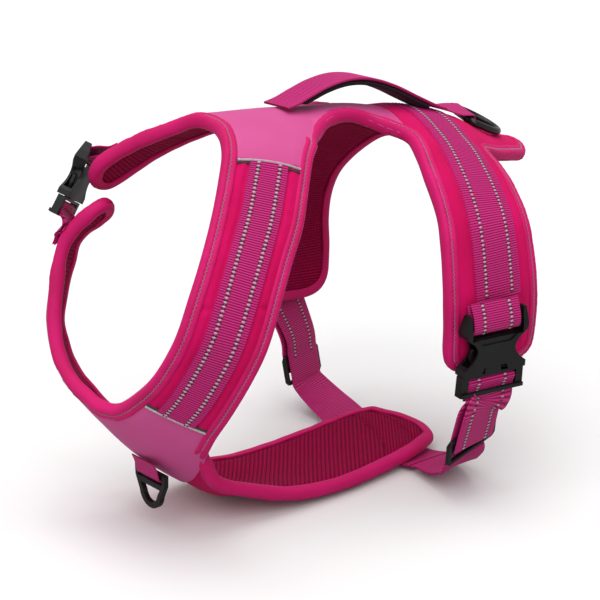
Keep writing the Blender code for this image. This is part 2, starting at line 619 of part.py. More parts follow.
def back_keeper():
    """Webbing from the girth band that turns round the back ring's bar and ends under itself."""
    bar, reach, lift = back_ring_directions()
    up = lift if lift.z > 0 else -lift
    turn = [Vector(BACK_RING_PIVOT) + (reach * x + up * y) for x, y in arc((0, 0), KEEPER_TURN, 100, -70, 7)]
    side = -bar
    sides = [Vector((0, -1, 0)), side.lerp(Vector((0, -1, 0)), 0.5), side] + [side] * len(turn)
    ribbon("back_ring_keeper", vectors(KEEPER_TOP) + turn, sides, KEEPER_WIDTH, THIN_WEB, WEBBING)


def front_ring():
    """Flat moulded ring: a bar for the loop above, a teardrop opening below."""
    pivot = metres(FRONT_RING_PIVOT)
    place = placed(FRONT_RING_PIVOT, (0.0, 0.0, 1.0), (-1.0, 0.0, 0.0))
    outer = [(16, 1.6), (15.6, -6)] + arc((0, -13), 11.5, -8, -80, 5)
    outer = both_sides(list(reversed(outer)))
    bm = bmesh.new()
    plate(bm, outer, -1.8, 1.8, place)
    ring = add_object("front_d_ring", bm, PLASTIC, origin=pivot)
    slot_side = guide_plate(both_sides([(13, -5.4), (13, -1.6)]), -4, 4, place)
    opening = [(10.4, -9.2)] + arc((0, -13), 7.6, -8, -78, 4)
    drop = guide_plate(both_sides(list(reversed(opening))), -4, 4, place)
    boolean(ring, [(slot_side, "DIFFERENCE"), (drop, "DIFFERENCE")])


def slider(name, frame, skew=0.0):
    """Tri-glide: a frame with two windows and a middle bar; returns the strap's own frame."""
    strap = placed(*frame)
    place = strap @ Matrix.Rotation(math.radians(skew), 4, "Z")
    bm = bmesh.new()
    half = SLIDER_THICK / 2
    plate(bm, both_sides([(20.5, -11), (23, -8.5), (23, 8.5), (20.5, 11)]), -half, half, place)
    piece = add_object(name, bm, PLASTIC, origin=place.translation)
    windows = [guide_plate(box_outline(-19.6, 19.6, low, low + 6.2), -3, 3, place) for low in (-8.1, 1.9)]
    boolean(piece, [(window, "DIFFERENCE") for window in windows])
    return strap


def girth_strap(name, buckle_place, slider_place, foot, below):
    """Strap from the slider's middle bar up round the buckle's bar, down past the slider and under the pad."""
    front = [buckle_point(slider_place, LAYER, up) for up in (-2.5, 4, 11, 26)]
    back = [buckle_point(slider_place, -LAYER, up) for up in (26, 11, 0, -8, below)]
    turn = strap_round_bar(buckle_place)
    level = Vector((math.copysign(1, across(slider_place).x), 0, 0))
    low = [across(slider_place).lerp(level, share) for share in (0.35, 0.7, 1, 1, 1)]
    sides = [across(slider_place)] * 4 + [across(buckle_place)] * len(turn) + [across(slider_place)] * 5 + low
    ribbon(name, front + turn + back + vectors(foot), sides, GIRTH_WEB, WEB, WEBBING)


def neck_strap(place):
    """Strap from the lower neck arm up round the neck buckle's bar and back to the arm."""
    front = [raised(NECK, 25.4, 0.46, 6.5), raised(NECK, 25.8, 0.4, 6.9), raised(NECK, 26.05, 0.33, 8.6)]
    back = [raised(NECK, 26.05, 0.33, 6.2), raised(NECK, 25.8, 0.4, 5.3), raised(NECK, 25.4, 0.46, 5.0)]
    bar = [buckle_point(place, out, up) for out, up in BAR_TURN]
    side = (NECK.point(25.5, 1) - NECK.point(25.5, 0)).normalized() * -1
    sides = [side] * 3 + [across(place)] * len(bar) + [side] * 3
    ribbon("neck_strap", front + bar + back, sides, NARROW_WEB, THIN_WEB, WEBBING)


def make_hardware():
    left = buckle("left_girth_buckle", LEFT_BUCKLE)
    right = buckle("right_girth_buckle", RIGHT_BUCKLE)
    neck = buckle("neck_buckle", NECK_BUCKLE, NECK_SCALE)
    under, over = [(-5.6, 31.5), (-3.8, 25), (-3.3, 20.5)], [(3.0, 21.5), (0.8, 27.5), (-2.6, 34)]
    webbing_loop("left_buckle_loop", left, GIRTH_WEB, WEB, under, over)
    webbing_loop("right_buckle_loop", right, GIRTH_WEB, WEB, under, over)
    webbing_loop("neck_buckle_loop", neck, NARROW_WEB, THIN_WEB, [(-20.2, 33.3), (-15, 26), (-9.8, 21.5)],
                 [(2.6, 21.5), (-6, 27.5), (-14.5, 31), (-19.2, 35.7)])
    girth_strap("left_girth_strap", left, slider("left_slider", LEFT_SLIDER, LEFT_SKEW), LEFT_STRAP_FOOT, -16)
    girth_strap("right_girth_strap", right, slider("right_slider", RIGHT_SLIDER), RIGHT_STRAP_FOOT, -12.5)
    neck_strap(neck)
    ribbon("belly_strap", BELLY_STRAP, [(1, 0, 0)], GIRTH_WEB, WEB, WEBBING)
    back_ring()
    back_keeper()
    front_ring()
    px, py, pz = FRONT_RING_PIVOT
    turn = [(px + x, py, pz + z) for x, z in arc((0, 0), FRONT_LOOP_TURN, 180, 360, 7)]
    ribbon("front_ring_loop", FRONT_LOOP_TOP + turn, [(0, 1, 0)], NARROW_WEB - 1, THIN_WEB, WEBBING)


def make_handle():
    ribbon("handle_strap", HANDLE_PATH, [(0, 1, 0)], NARROW_WEB, 1.8, WEBBING, 24)
    path = vectors(HANDLE_PATH)
    under = [spline(path, t) - Vector((0, 0, 3.0)) for t in spread(1.5, 7.7, 18)]
    ribbon("handle_grip", under, [(0, 1, 0)], NARROW_WEB - 2, 3.2, GRIP)


def main():
    for old in list(bpy.data.objects):
        bpy.data.objects.remove(old)
    make_panels()
    make_edgings()
    make_covers()
    make_panel_webbing()
    make_hardware()
    make_handle()
    for piece in bpy.data.objects:
        piece.location -= metres(BASE_MIDDLE)


main()
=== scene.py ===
"""A no pull dog harness in padded fabric, webbing and moulded plastic, built round its CAD frame.

Lengths are in millimetres until a mesh is made. The panels' middle surfaces are the CAD model's own.
"""
import math

import bpy
import numpy as np
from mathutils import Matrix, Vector
from mathutils.kdtree import KDTree


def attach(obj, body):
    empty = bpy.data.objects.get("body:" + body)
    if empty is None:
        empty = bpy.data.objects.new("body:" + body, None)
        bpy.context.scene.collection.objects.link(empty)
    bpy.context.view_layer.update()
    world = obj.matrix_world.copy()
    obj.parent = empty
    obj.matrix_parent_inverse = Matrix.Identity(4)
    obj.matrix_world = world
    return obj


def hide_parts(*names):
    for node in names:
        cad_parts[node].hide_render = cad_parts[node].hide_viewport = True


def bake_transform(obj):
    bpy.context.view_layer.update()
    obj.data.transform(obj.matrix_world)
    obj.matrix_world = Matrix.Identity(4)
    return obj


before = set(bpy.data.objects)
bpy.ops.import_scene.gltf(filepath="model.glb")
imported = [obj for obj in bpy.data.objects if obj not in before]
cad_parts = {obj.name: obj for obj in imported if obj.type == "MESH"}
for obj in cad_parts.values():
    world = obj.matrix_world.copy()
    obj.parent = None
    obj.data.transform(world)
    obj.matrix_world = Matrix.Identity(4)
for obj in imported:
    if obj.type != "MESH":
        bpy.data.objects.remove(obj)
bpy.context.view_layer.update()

MM = 0.001
BASE_MIDDLE = np.array((18.8, -0.54, 0.33))   # the CAD frame's origin in the coordinates listed below

# ---- the panels' edges, as in the CAD model (mm) ----
NECK_BAND = [
    ((-123.8, 66.2, 217.2), (-102, 80.3, 199)),
    ((-114.5, 57.8, 229.5), (-87.5, 74.8, 209.5)),
    ((-100.5, 42.2, 241.5), (-68.5, 61.2, 225.5)),
    ((-87, 26, 250), (-43, 47, 238.2)),
    ((-78.5, 12.5, 256.5), (-14.5, 36.5, 243)),
    ((-76, 0.5, 256), (-1.5, 0.5, 252.5)),
    ((-79.5, -15.5, 254.5), (-17, -36, 242)),
    ((-87, -30, 246), (-32, -49, 234)),
    ((-96, -38, 232), (-47, -62, 216)),
    ((-106, -45, 216), (-58, -71, 201)),
    ((-116.5, -51.5, 201), (-71, -77, 184)),
    ((-127, -56, 184), (-83, -82, 165)),
    ((-136, -58, 167.5), (-91, -84, 148)),
    ((-142.5, -57, 150.5), (-98, -83.5, 132)),
    ((-146.5, -51, 135), (-105.5, -78, 113)),
    ((-151, -39.5, 116.5), (-111.5, -68, 92.5)),
    ((-154, -22.5, 101), (-113.5, -54.5, 73.8)),
    ((-156.5, -9, 92), (-112, -42, 57)),
    ((-158, 1, 90.5), (-108, -22, 37)),
    ((-158.5, 10, 90), (-103.5, 0, 30)),
    ((-158.5, 20.5, 93), (-107, 21.5, 38)),
    ((-159, 36, 98), (-118.5, 47, 59)),
    ((-158, 50.5, 110.5), (-131, 73, 86)),
    ((-154, 60, 129), (-133, 87, 114)),
    ((-149, 65, 144), (-127.5, 92, 131)),
    ((-143, 69, 165), (-119, 94, 152)),
    ((-135, 68, 182), (-112, 89.5, 172.5)),
    ((-116.5, 52.5, 206.5), (-95, 68.5, 189.5)),
]
RIGHT_CORNER, SPINE, LEFT_CORNER, LOWER_TIP = 4, 5, 6, 27
YOKE_PIPING, CHEST_PIPING, LEFT_ARMPIT = 7.3, 15.75, 17
RIGHT_YOKE_PIPING, RIGHT_CHEST_PIPING, RIGHT_ARMPIT = 2.7, 21.4, 21
GIRTH_BAND = [
    ((50, 100, 88), (103, 101, 82)),
    ((43, 103, 104), (114, 105, 97)),
    ((38, 104, 122), (117, 107, 120)),
    ((35, 103, 147), (114, 104, 143)),
    ((37, 95, 175), (111, 96, 166)),
    ((41, 84, 195), (110, 85, 183)),
    ((49, 65, 217), (110, 66, 200)),
    ((60, 38, 235), (116, 41, 217)),
    ((68, 0, 244), (134, 0, 228)),
    ((61, -37, 234), (128, -43, 213)),
    ((48.5, -66, 217), (121.5, -70, 201)),
    ((42, -86, 195), (116, -88, 188)),
    ((37, -96, 175), (113, -98, 175)),
    ((34, -102, 147), (111.5, -106, 147)),
    ((35, -102, 122), (113, -106, 126)),
    ((37, -100, 104), (113, -104, 103)),
    ((44, -97, 90), (107, -101, 88)),
]
GIRTH_RIGHT_CORNER, GIRTH_LEFT_CORNER, GIRTH_END = 7, 9, 16
BRIDGE_LEFT = [(1, -25, 250), (16, -21, 252), (30, -21, 250), (41, -24, 244), (51, -30, 239)]
BRIDGE_MIDDLE = [(20, 0, 251), (45, 0, 248.5)]
BRIDGE_RIGHT = [(1, 25, 248), (16, 21, 250), (30, 21, 248.5), (41, 24, 244), (51, 30, 239.5)]
TAIL_LEFT = [(146, -38, 207), (166, -32, 203)]
TAIL_MIDDLE = [(155, 0, 217.5), (178, 0, 209.5)]
TAIL_RIGHT = [(138, 39, 210), (164, 33, 205)]
TAIL_TIP = [(185, -25, 199), (196, -13, 200), (199, 0, 203), (196, 13, 201), (186, 25, 199)]
BELLY_LEFT = [(-104, -42, 38), (-80, -43, 25), (-45, -46.5, 12.8), (-4, -48, 8.5), (40, -44.5, 8.8),
              (75, -39, 10.5)]
BELLY_MIDDLE = [(-80, 0, 14), (-50, 0, 6.5), (-15, 0, 4.8), (20, 0, 5.6), (55, 0, 8.4), (82, 0, 10.5)]
BELLY_RIGHT = [(-103.5, 41, 36), (-79, 41, 19), (-43, 41.5, 8), (4, 42.5, 6), (52, 43.5, 7.8), (84, 43.5, 9.5)]
BELLY_REAR = [(101, 37, 11), (106, 12, 12), (107, -10, 11.5), (99, -30, 11)]

# ---- hardware and free webbing, as in the CAD model (mm) ----
LEFT_BUCKLE = ((64, -116.6, 108), (0.0, -0.07, 1.0), (-0.12, -1.0, -0.08))
RIGHT_BUCKLE = ((77, 117.2, 128), (0.0, 0.0, 1.0), (-0.1, 1.0, 0.0))
NECK_BUCKLE = ((-117.5, 83, 211), (0.6, -0.2, 0.77), (-0.48, 0.8, 0.35))
NECK_SCALE = (0.67, 0.9, 0.85)
LEFT_SLIDER = ((62, -102, 42), (-0.047, -0.317, 0.947), (0.1, -0.946, -0.312))
RIGHT_SLIDER = ((84, 98, 34), (-0.05, 0.2, 1.0), (-0.3, 0.94, -0.2))
LEFT_STRAP_FOOT = [(66.5, -89, 20.5), (70, -79, 13.5), (74, -67, 9), (77, -56, 7), (77, -48, 5.6)]
RIGHT_STRAP_FOOT = [(87.5, 87.5, 17), (89, 76, 11), (88.5, 64, 7.5), (87.5, 56, 5.6), (86.5, 49, 4.0)]
BELLY_STRAP = [(77, -47, 5.4), (77, -36, 2.9), (78, -24, 1.2), (80, 0, 1.2), (83, 24, 1.2),
               (85, 37, 1.9), (86.5, 48, 3.8)]
HANDLE_PATH = [(-20, 0, 260.6), (-11, 0, 262.4), (1, 0, 266.3), (16, 0, 270.5), (34, 0, 272.5), (53, 0, 270),
               (73, 0, 263), (94, 0, 252.8), (112, 0, 244.2), (121, 0, 240.8)]
KEEPER_TOP = [(123, 0, 239.5), (131, 0, 237.6), (139, -0.5, 236.2)]
KEEPER_WIDTH, KEEPER_TURN = 22.0, 3.7
BACK_RING_PIVOT = (147, -1, 231.6)
BACK_RING_AXIS = (0.2, 0.95, 0.2)
BACK_RING_REACH_DIRECTION = (28.4, -5.5, -13.0)
BACK_RING_WIRE = 2.5
BACK_RING_HALF_BAR, BACK_RING_REACH = 15.0, 30.0
FRONT_RING_PIVOT = (-130.5, -9, 41)
FRONT_LOOP_TOP = [(-137, -9, 51.2), (-135.1, -9, 46.6)]
FRONT_LOOP_TURN = 3.2

# ---- driving dimensions of the looks (mm) ----
GIRTH_WEB, NARROW_WEB, SMALL_WEB = 38.0, 25.0, 24.0
LAYER = 2.5                 # half the distance between a strap's two layers
RIB = 1.5                   # distance between webbing ribs
DASH = 2.6                  # distance between reflective dashes
TAPE = 8.6                  # how far the edge binding comes in over the outer face
SKY = 0.37                  # brightness of the studio's sky as a light; the camera sees it white
FLOOR = 0.45                # how much light the floor throws back at the harness; the camera sees it white
OUTER, INNER = 3.5, -2.7    # heights of the shell fabric and of the lining over the middle surface
OUTER_BACK, LINING_BACK = -1.0, -0.8        # hidden backs of the two, which overlap inside the foam
DASH_ROW, ARM_DASH_ROW = 10.8, 6.5          # how far the reflective dashes lie from a strap's middle
DASH_SIZE, YARN_SIZE = (0.72, 1.35, 0.42), (0.48, 0.72, 0.36)   # half lengths along, across and out of the webbing
STITCH_SIZE = (0.95, 0.3, 0.28)
BLOOM = (1.0, 0.25, 0.6)    # tint of the fabrics' sheen
INSET = 0.035               # how far a panel's mesh stays in from its edges, as a share of its width
BAR_CLEAR = -27             # where a strap meets its male buckle half, in the buckle's own height
GIRTH_WEB_LINE = 0.515      # the girth webbing's middle as a share of the girth band's width


def unit(v):
    return v / np.linalg.norm(v, axis=-1, keepdims=True)


def listed(points):
    """Points of the lists above in the frame's own coordinates."""
    return np.array(points, float) - BASE_MIDDLE


# ---- curves and surfaces ----
def spline(points, t):
    """Catmull-Rom curve through the points; t of any shape runs over 0 to len - 1."""
    p = np.asarray(points, float)
    p = np.vstack([2 * p[:1] - p[1:2], p, 2 * p[-1:] - p[-2:-1]])
    t = np.asarray(t, float)
    i = np.clip(np.floor(t).astype(int), 0, len(points) - 2)
    f = (t - i)[..., None]
    p0, p1, p2, p3 = p[i], p[i + 1], p[i + 2], p[i + 3]
    return 0.5 * (2 * p1 + (p2 - p0) * f + (2 * p0 - 5 * p1 + 4 * p2 - p3) * f ** 2
                  + (3 * p1 - p0 - 3 * p2 + p3) * f ** 3)


class Band:
    """Surface between two matching edges; u counts the stations, v runs 0 to 1 across."""

    def __init__(self, stations, crown):
        self.a = listed([station[0] for station in stations])
        self.b = listed([station[1] for station in stations])
        self.crown = crown

    def point(self, u, v):
        u, v = np.broadcast_arrays(np.asarray(u, float), np.asarray(v, float))
        near, far = spline(self.a, u), spline(self.b, u)
        along = spline(self.a, u + 0.01) + spline(self.b, u + 0.01) - near - far
        out = unit(np.cross(along, far - near))
        return near + (far - near) * v[..., None] + out * (self.crown(u) * 4 * v * (1 - v))[..., None]


class Patch:
    """Surface whose ends lie on other edges; u runs front to rear and v from side to side."""

    def __init__(self, front, rear, left, middle, right):
        self.front, self.rear = front, rear
        ends = [(front(np.array(t)), rear(np.array(t))) for t in (0.0, 0.5, 1.0)]
        self.lines = [np.vstack([start, listed(line), end])
                      for (start, end), line in zip(ends, (left, middle, right))]

    def arch(self, u, v):
        a, m, b = (spline(line, u * (len(line) - 1)) for line in self.lines)
        v = v[..., None]
        return a * (1 - v) * (1 - 2 * v) + m * 4 * v * (1 - v) + b * v * (2 * v - 1)

    def point(self, u, v):
        u, v = np.broadcast_arrays(np.asarray(u, float), np.asarray(v, float))
        from_front = (self.front(v) - self.arch(np.zeros_like(u), v)) * ((1 - u) ** 3)[..., None]
        from_rear = (self.rear(v) - self.arch(np.ones_like(u), v)) * (u ** 3)[..., None]
        return self.arch(u, v) + from_front + from_rear


def normal(surface, u, v):
    u, v = np.broadcast_arrays(np.asarray(u, float), np.asarray(v, float))
    step = 0.02
    v0, v1 = np.maximum(v - step, 0), np.minimum(v + step, 1)
    u0, u1 = np.maximum(u - step, 0), u + step
    along = surface.point(u1, v) - surface.point(u0, v)
    return unit(np.cross(along, surface.point(u, v1) - surface.point(u, v0)))


def chest_crown(u):
    return 1.5 + 2.8 * np.exp(-((u - 19.2) / 2.2) ** 2)


NECK = Band(NECK_BAND, chest_crown)
GIRTH = Band(GIRTH_BAND, lambda u: 2.5 + 0 * u)


def stretch(edge, start, end):
    """Part of a band's edge as a curve over 0 to 1."""
    return lambda t: spline(edge, start + (end - start) * t)


def through(points):
    """Smooth curve over 0 to 1 through listed points."""
    spots = listed(points)
    return lambda t: spline(spots, t * (len(spots) - 1))


BRIDGE = Patch(stretch(NECK.b, LEFT_CORNER, RIGHT_CORNER),
               stretch(GIRTH.a, GIRTH_LEFT_CORNER, GIRTH_RIGHT_CORNER), BRIDGE_LEFT, BRIDGE_MIDDLE, BRIDGE_RIGHT)
TAIL = Patch(stretch(GIRTH.b, GIRTH_LEFT_CORNER, GIRTH_RIGHT_CORNER), through(TAIL_TIP),
             TAIL_LEFT, TAIL_MIDDLE, TAIL_RIGHT)
BELLY = Patch(stretch(NECK.b, RIGHT_ARMPIT, LEFT_ARMPIT), through(BELLY_REAR),
              BELLY_RIGHT, BELLY_MIDDLE, BELLY_LEFT)


# ---- meshes ----
def make_object(name, points, faces, material, uv=None, face_uv=None, smooth_angle=None):
    """Mesh object from points in mm, polygons, and a cloth coordinate in mm per point or per face corner."""
    mesh = bpy.data.meshes.new(name)
    mesh.from_pydata((np.asarray(points) * MM).tolist(), [], [list(map(int, face)) for face in faces])
    if uv is not None or face_uv is not None:
        layer = mesh.uv_layers.new(name="cloth")
        if face_uv is None:
            corners = np.zeros(len(mesh.loops), int)
            mesh.loops.foreach_get("vertex_index", corners)
            face_uv = np.asarray(uv)[corners]
        layer.data.foreach_set("uv", np.asarray(face_uv, float).ravel())
    mesh.shade_smooth()
    if smooth_angle:
        mesh.set_sharp_from_angle(angle=math.radians(smooth_angle))
    mesh.materials.append(material)
    piece = bpy.data.objects.new(name, mesh)
    bpy.context.scene.collection.objects.link(piece)
    return piece


def grid_faces(rows, columns, first=0):
    """Quads of a grid stored row by row."""
    i, j = np.meshgrid(np.arange(rows - 1), np.arange(columns - 1), indexing="ij")
    a = first + i * columns + j
    return np.stack([a, a + columns, a + columns + 1, a + 1], -1).reshape(-1, 4)


def sleeve(name, rings, material, cloth=None):
    """Closed bar through equal cross-sections (rows, corners, 3); cloth is (rows, corners + 1, 2)."""
    rows, count = rings.shape[:2]
    i, j = np.meshgrid(np.arange(rows - 1), np.arange(count), indexing="ij")
    k = (j + 1) % count
    quads = np.stack([i * count + j, i * count + k, (i + 1) * count + k, (i + 1) * count + j], -1).reshape(-1, 4)
    faces = quads.tolist() + [list(range(count))[::-1], [(rows - 1) * count + c for c in range(count)]]
    face_uv = None
    if cloth is not None:
        corners = np.stack([cloth[i, j], cloth[i, j + 1], cloth[i + 1, j + 1], cloth[i + 1, j]], -2).reshape(-1, 2)
        face_uv = np.vstack([corners, cloth[0, :count][::-1], cloth[-1, :count]])
    piece = make_object(name, rings.reshape(-1, 3), faces, material, face_uv=face_uv, smooth_angle=50)
    outward(piece)
    return piece


def outward(piece):
    """Turns a closed mesh's faces outward."""
    mesh = piece.data
    mesh.calc_loop_triangles()
    points = np.zeros(len(mesh.vertices) * 3)
    mesh.vertices.foreach_get("co", points)
    triangles = np.zeros(len(mesh.loop_triangles) * 3, int)
    mesh.loop_triangles.foreach_get("vertices", triangles)
    a, b, c = points.reshape(-1, 3)[triangles.reshape(-1, 3)].transpose(1, 0, 2)
    if np.einsum("ij,ij->i", a, np.cross(b, c)).sum() < 0:
        mesh.flip_normals()


# ---- boundary of all panels: one closed trail ----
TIP_START = {"upper": (0.95, 0.0), "lower": (26.4, LOWER_TIP), "left": (15.1, GIRTH_END), "right": (0.8, 0.0)}
ARM_POWER, GIRTH_POWER = 2.2, 3.2


def tip_curve(tip, power, count=24):
    """(u, v) round a band's rounded end, from v = 0 to v = 1."""
    start, end = TIP_START[tip]
    phi = np.linspace(0, np.pi, count)
    swing = np.sign(np.cos(phi)) * np.abs(np.cos(phi)) ** (2 / power)
    return start + (end - start) * np.sin(phi).clip(0) ** (2 / power), 0.5 - 0.5 * swing


def run(start, end, count):
    return np.linspace(start, end, count)


def boundary():
    """Points, normals and inward directions along the whole outline, with the pieces' stretches of it."""
    upper_u, upper_v = tip_curve("upper", ARM_POWER)
    lower_u, lower_v = tip_curve("lower", ARM_POWER)
    left_u, left_v = tip_curve("left", GIRTH_POWER)
    right_u, right_v = tip_curve("right", GIRTH_POWER)
    ones, zeros = np.ones_like, np.zeros_like
    neck = run(TIP_START["upper"][0], TIP_START["lower"][0], 300)
    arm = run(TIP_START["lower"][0], RIGHT_ARMPIT, 60)
    belly, end, tail = run(0, 1, 120), run(0, 1, 40), run(0, 1, 30)
    shoulder = run(LEFT_ARMPIT, LEFT_CORNER, 120)
    left_side = run(GIRTH_LEFT_CORNER, TIP_START["left"][0], 80)
    right_side = run(GIRTH_RIGHT_CORNER, TIP_START["right"][0], 80)
    right_arm = run(RIGHT_CORNER, TIP_START["upper"][0], 50)
    legs = [
        ("neck", NECK, neck, zeros(neck)), ("neck", NECK, lower_u, lower_v), ("neck", NECK, arm, ones(arm)),
        ("belly", BELLY, belly, zeros(belly)), ("belly", BELLY, ones(end), end),
        ("belly", BELLY, belly[::-1], ones(belly)),
        ("left_leg", NECK, shoulder, ones(shoulder)), ("left_leg", BRIDGE, end, zeros(end)),
        ("left_leg", GIRTH, left_side, zeros(left_side)),
        ("rear", GIRTH, left_u, left_v), ("rear", GIRTH, left_side[::-1], ones(left_side)),
        ("rear", TAIL, tail, zeros(tail)), ("rear", TAIL, ones(end), end), ("rear", TAIL, tail[::-1], ones(tail)),
        ("rear", GIRTH, right_side, ones(right_side)), ("rear", GIRTH, right_u, 1 - right_v),
        ("right_leg", GIRTH, right_side[::-1], zeros(right_side)),
        ("right_leg", BRIDGE, end[::-1], ones(end)),
        ("right_leg", NECK, right_arm, ones(right_arm)), ("right_leg", NECK, upper_u, 1 - upper_v),
    ]
    points = np.vstack([surface.point(u, v) for _, surface, u, v in legs])
    normals = np.vstack([normal(surface, u, v) for _, surface, u, v in legs])
    owner = np.concatenate([[name] * len(u) for name, _, u, _ in legs])
    keep = np.append(True, np.linalg.norm(np.diff(points, axis=0), axis=1) > 0.05)
    points, normals, owner = points[keep], normals[keep], owner[keep]
    return points, normals, owner


def smoothed(values, sigma):
    """Gaussian smoothing of rows that close on themselves; sigma in samples."""
    reach = int(sigma * 3) + 1
    weights = np.exp(-0.5 * (np.arange(-reach, reach + 1) / sigma) ** 2)
    weights /= weights.sum()
    return sum(w * np.roll(values, k - reach, axis=0) for k, w in enumerate(weights))


class Trail:
    """The outline at even spacing, with its normal and inward directions."""

    SPACING = 1.0

    def __init__(self):
        points, normals, owner = boundary()
        length = np.append(0, np.cumsum(np.linalg.norm(np.diff(np.vstack([points, points[:1]]), axis=0), axis=1)))
        count = int(length[-1] / self.SPACING)
        s = np.arange(count) * length[-1] / count
        closed = lambda rows: np.vstack([rows, rows[:1]])
        self.p = np.stack([np.interp(s, length, closed(points)[:, c]) for c in range(3)], -1)
        self.n = np.stack([np.interp(s, length, closed(normals)[:, c]) for c in range(3)], -1)
        self.owner = owner[np.searchsorted(length, s, side="right") - 1]
        self.p = smoothed(self.p, 3.0)
        self.n = unit(smoothed(self.n, 6.0))
        along = unit(np.roll(self.p, -1, axis=0) - np.roll(self.p, 1, axis=0))
        self.inward = unit(smoothed(np.cross(self.n, along), 2.0))
        self.n = unit(np.cross(along, self.inward))
        self.s = s

    def stretch(self, name, extra=0):
        """Indices of one binding's stretch, in order, reaching a little into its neighbours."""
        own = np.flatnonzero(self.owner == name)
        gap = np.flatnonzero(np.diff(own) > 1)
        if len(gap):
            own = np.concatenate([own[gap[0] + 1:], own[:gap[0] + 1]])
        count = len(self.s)
        return np.arange(own[0] - extra, own[0] + len(own) + extra) % count


TRAIL = Trail()
EDGE_TREE = KDTree(len(TRAIL.p))
for index, spot in enumerate(TRAIL.p):
    EDGE_TREE.insert(spot, index)
EDGE_TREE.balance()


def edge_distance(points):
    """Distance of each point to the outline."""
    return np.array([EDGE_TREE.find(point)[2] for point in points])


# ---- materials ----
class Shade:
    """Small builder for a node material round one Principled shader."""

    def __init__(self, name, roughness, metallic=0.0, sheen=0.0, coat=0.0, specular=0.5):
        self.material = bpy.data.materials.new(name)
        self.material.use_nodes = True
        self.tree = self.material.node_tree
        self.shader = self.tree.nodes["Principled BSDF"]
        values = {"Roughness": roughness, "Metallic": metallic, "Sheen Weight": sheen, "Sheen Roughness": 0.4,
                  "Coat Weight": coat, "Specular IOR Level": specular}
        for socket, value in values.items():
            self.shader.inputs[socket].default_value = value
        self.shader.inputs["Sheen Tint"].default_value = (*BLOOM, 1)

    def node(self, kind, inputs=(), **settings):
        """New node; inputs maps socket names or numbers to values or to other nodes' outputs."""
        made = self.tree.nodes.new("ShaderNode" + kind)
        for key, value in settings.items():
            setattr(made, key, value)
        for socket, value in dict(inputs).items():
            if isinstance(value, bpy.types.NodeSocket):
                self.tree.links.new(value, made.inputs[socket])
            else:
                made.inputs[socket].default_value = value
        return made

    def math(self, operation, a, b=0.0):
        return self.node("Math", {0: a, 1: b}, operation=operation).outputs[0]

    def cloth(self):
        """Cloth coordinates in mm as separate x (along) and y (across)."""
        made = self.node("UVMap", uv_map="cloth")
        parts = self.node("SeparateXYZ", {0: made.outputs["UV"]})
        return made.outputs["UV"], parts.outputs["X"], parts.outputs["Y"]

    def ripple(self, coordinate, pitch):
        """0 to 1 and back over each pitch of a coordinate, as a rounded rib."""
        turn = self.math("MULTIPLY", coordinate, math.pi / pitch)
        return self.math("ABSOLUTE", self.math("SINE", turn))

    def mix(self, factor, a, b):
        made = self.node("Mix", {0: factor}, data_type="RGBA")
        for socket, value in ((6, a), (7, b)):
            if isinstance(value, bpy.types.NodeSocket):
                self.tree.links.new(value, made.inputs[socket])
            else:
                made.inputs[socket].default_value = (*value, 1)
        return made.outputs[2]

    def colour(self, value):
        self.tree.links.new(value, self.shader.inputs["Base Color"])

    def roughness(self, value):
        self.tree.links.new(value, self.shader.inputs["Roughness"])

    def bump(self, height, strength, distance):
        made = self.node("Bump", {"Height": height, "Strength": strength, "Distance": distance})
        self.tree.links.new(made.outputs[0], self.shader.inputs["Normal"])

    def fade(self, value, low, high):
        """value as 0 below low and 1 above high."""
        return self.node("MapRange", {0: value, 1: low, 2: high}).outputs[0]


def place_noise(shade, scale, detail=3.0):
    """Slow colour change by place on the object."""
    place = shade.node("TexCoord").outputs["Object"]
    return shade.node("TexNoise", {"Vector": place, "Scale": scale, "Detail": detail}).outputs["Fac"]


def fabric(name, roughness, sheen, specular, rib, crossed, patch, tones, share, relief):
    """Cloth with fine ribs, crossed or one way, under slow lighter patches, with painted highlights on the crests.

    patch is the patches' scale and range; tones are the dark and light patches and the painted highlight on the
    ribs' crests; relief is the weave's strength, depth in metres and share of coarser grain.
    """
    shade = Shade(name, roughness, sheen=sheen, specular=specular)
    _, x, y = shade.cloth()
    weave = shade.ripple(x, rib)
    if crossed:
        weave = shade.math("MULTIPLY", weave, shade.ripple(y, rib))
    scale, low, high = patch
    base = shade.mix(shade.fade(place_noise(shade, scale), low, high), tones[0], tones[1])
    # The weave's crests are mixed towards the third tone, a painted highlight.
    shade.colour(shade.mix(shade.math("MULTIPLY", weave, share), base, tones[2]))
    strength, depth, grain = relief
    if grain:
        weave = shade.math("ADD", weave, shade.math("MULTIPLY", place_noise(shade, 900.0), grain))
    shade.bump(weave, strength, depth)
    return shade.material


def web_fabric():
    """Nylon webbing: painted highlights on the rib crests, painted shade in the grooves, a woven selvedge grain.
    """
    shade = Shade("ribbed_webbing", 0.5, sheen=0.15, specular=0.25)
    _, x, y = shade.cloth()
    rib = shade.ripple(x, RIB)
    rib_light_mask = shade.fade(rib, 0.35, 0.95)
    grain = shade.ripple(shade.math("ADD", y, shade.math("MULTIPLY", x, 0.5)), 0.6)
    patch = shade.fade(place_noise(shade, 22.0), 0.35, 0.7)
    # Painted shade for the grooves over slow patches, and a painted highlight for the crests over the woven grain.
    low = shade.mix(patch, (0.22, 0.001, 0.04), (0.30, 0.0015, 0.065))
    high = shade.mix(grain, (0.66, 0.011, 0.19), (0.80, 0.034, 0.32))
    shade.colour(shade.mix(rib_light_mask, low, high))
    relief = shade.math("ADD", shade.math("MULTIPLY", rib, 0.5), shade.math("MULTIPLY", grain, 0.35))
    shade.bump(relief, 0.5, 0.0002)
    return shade.material


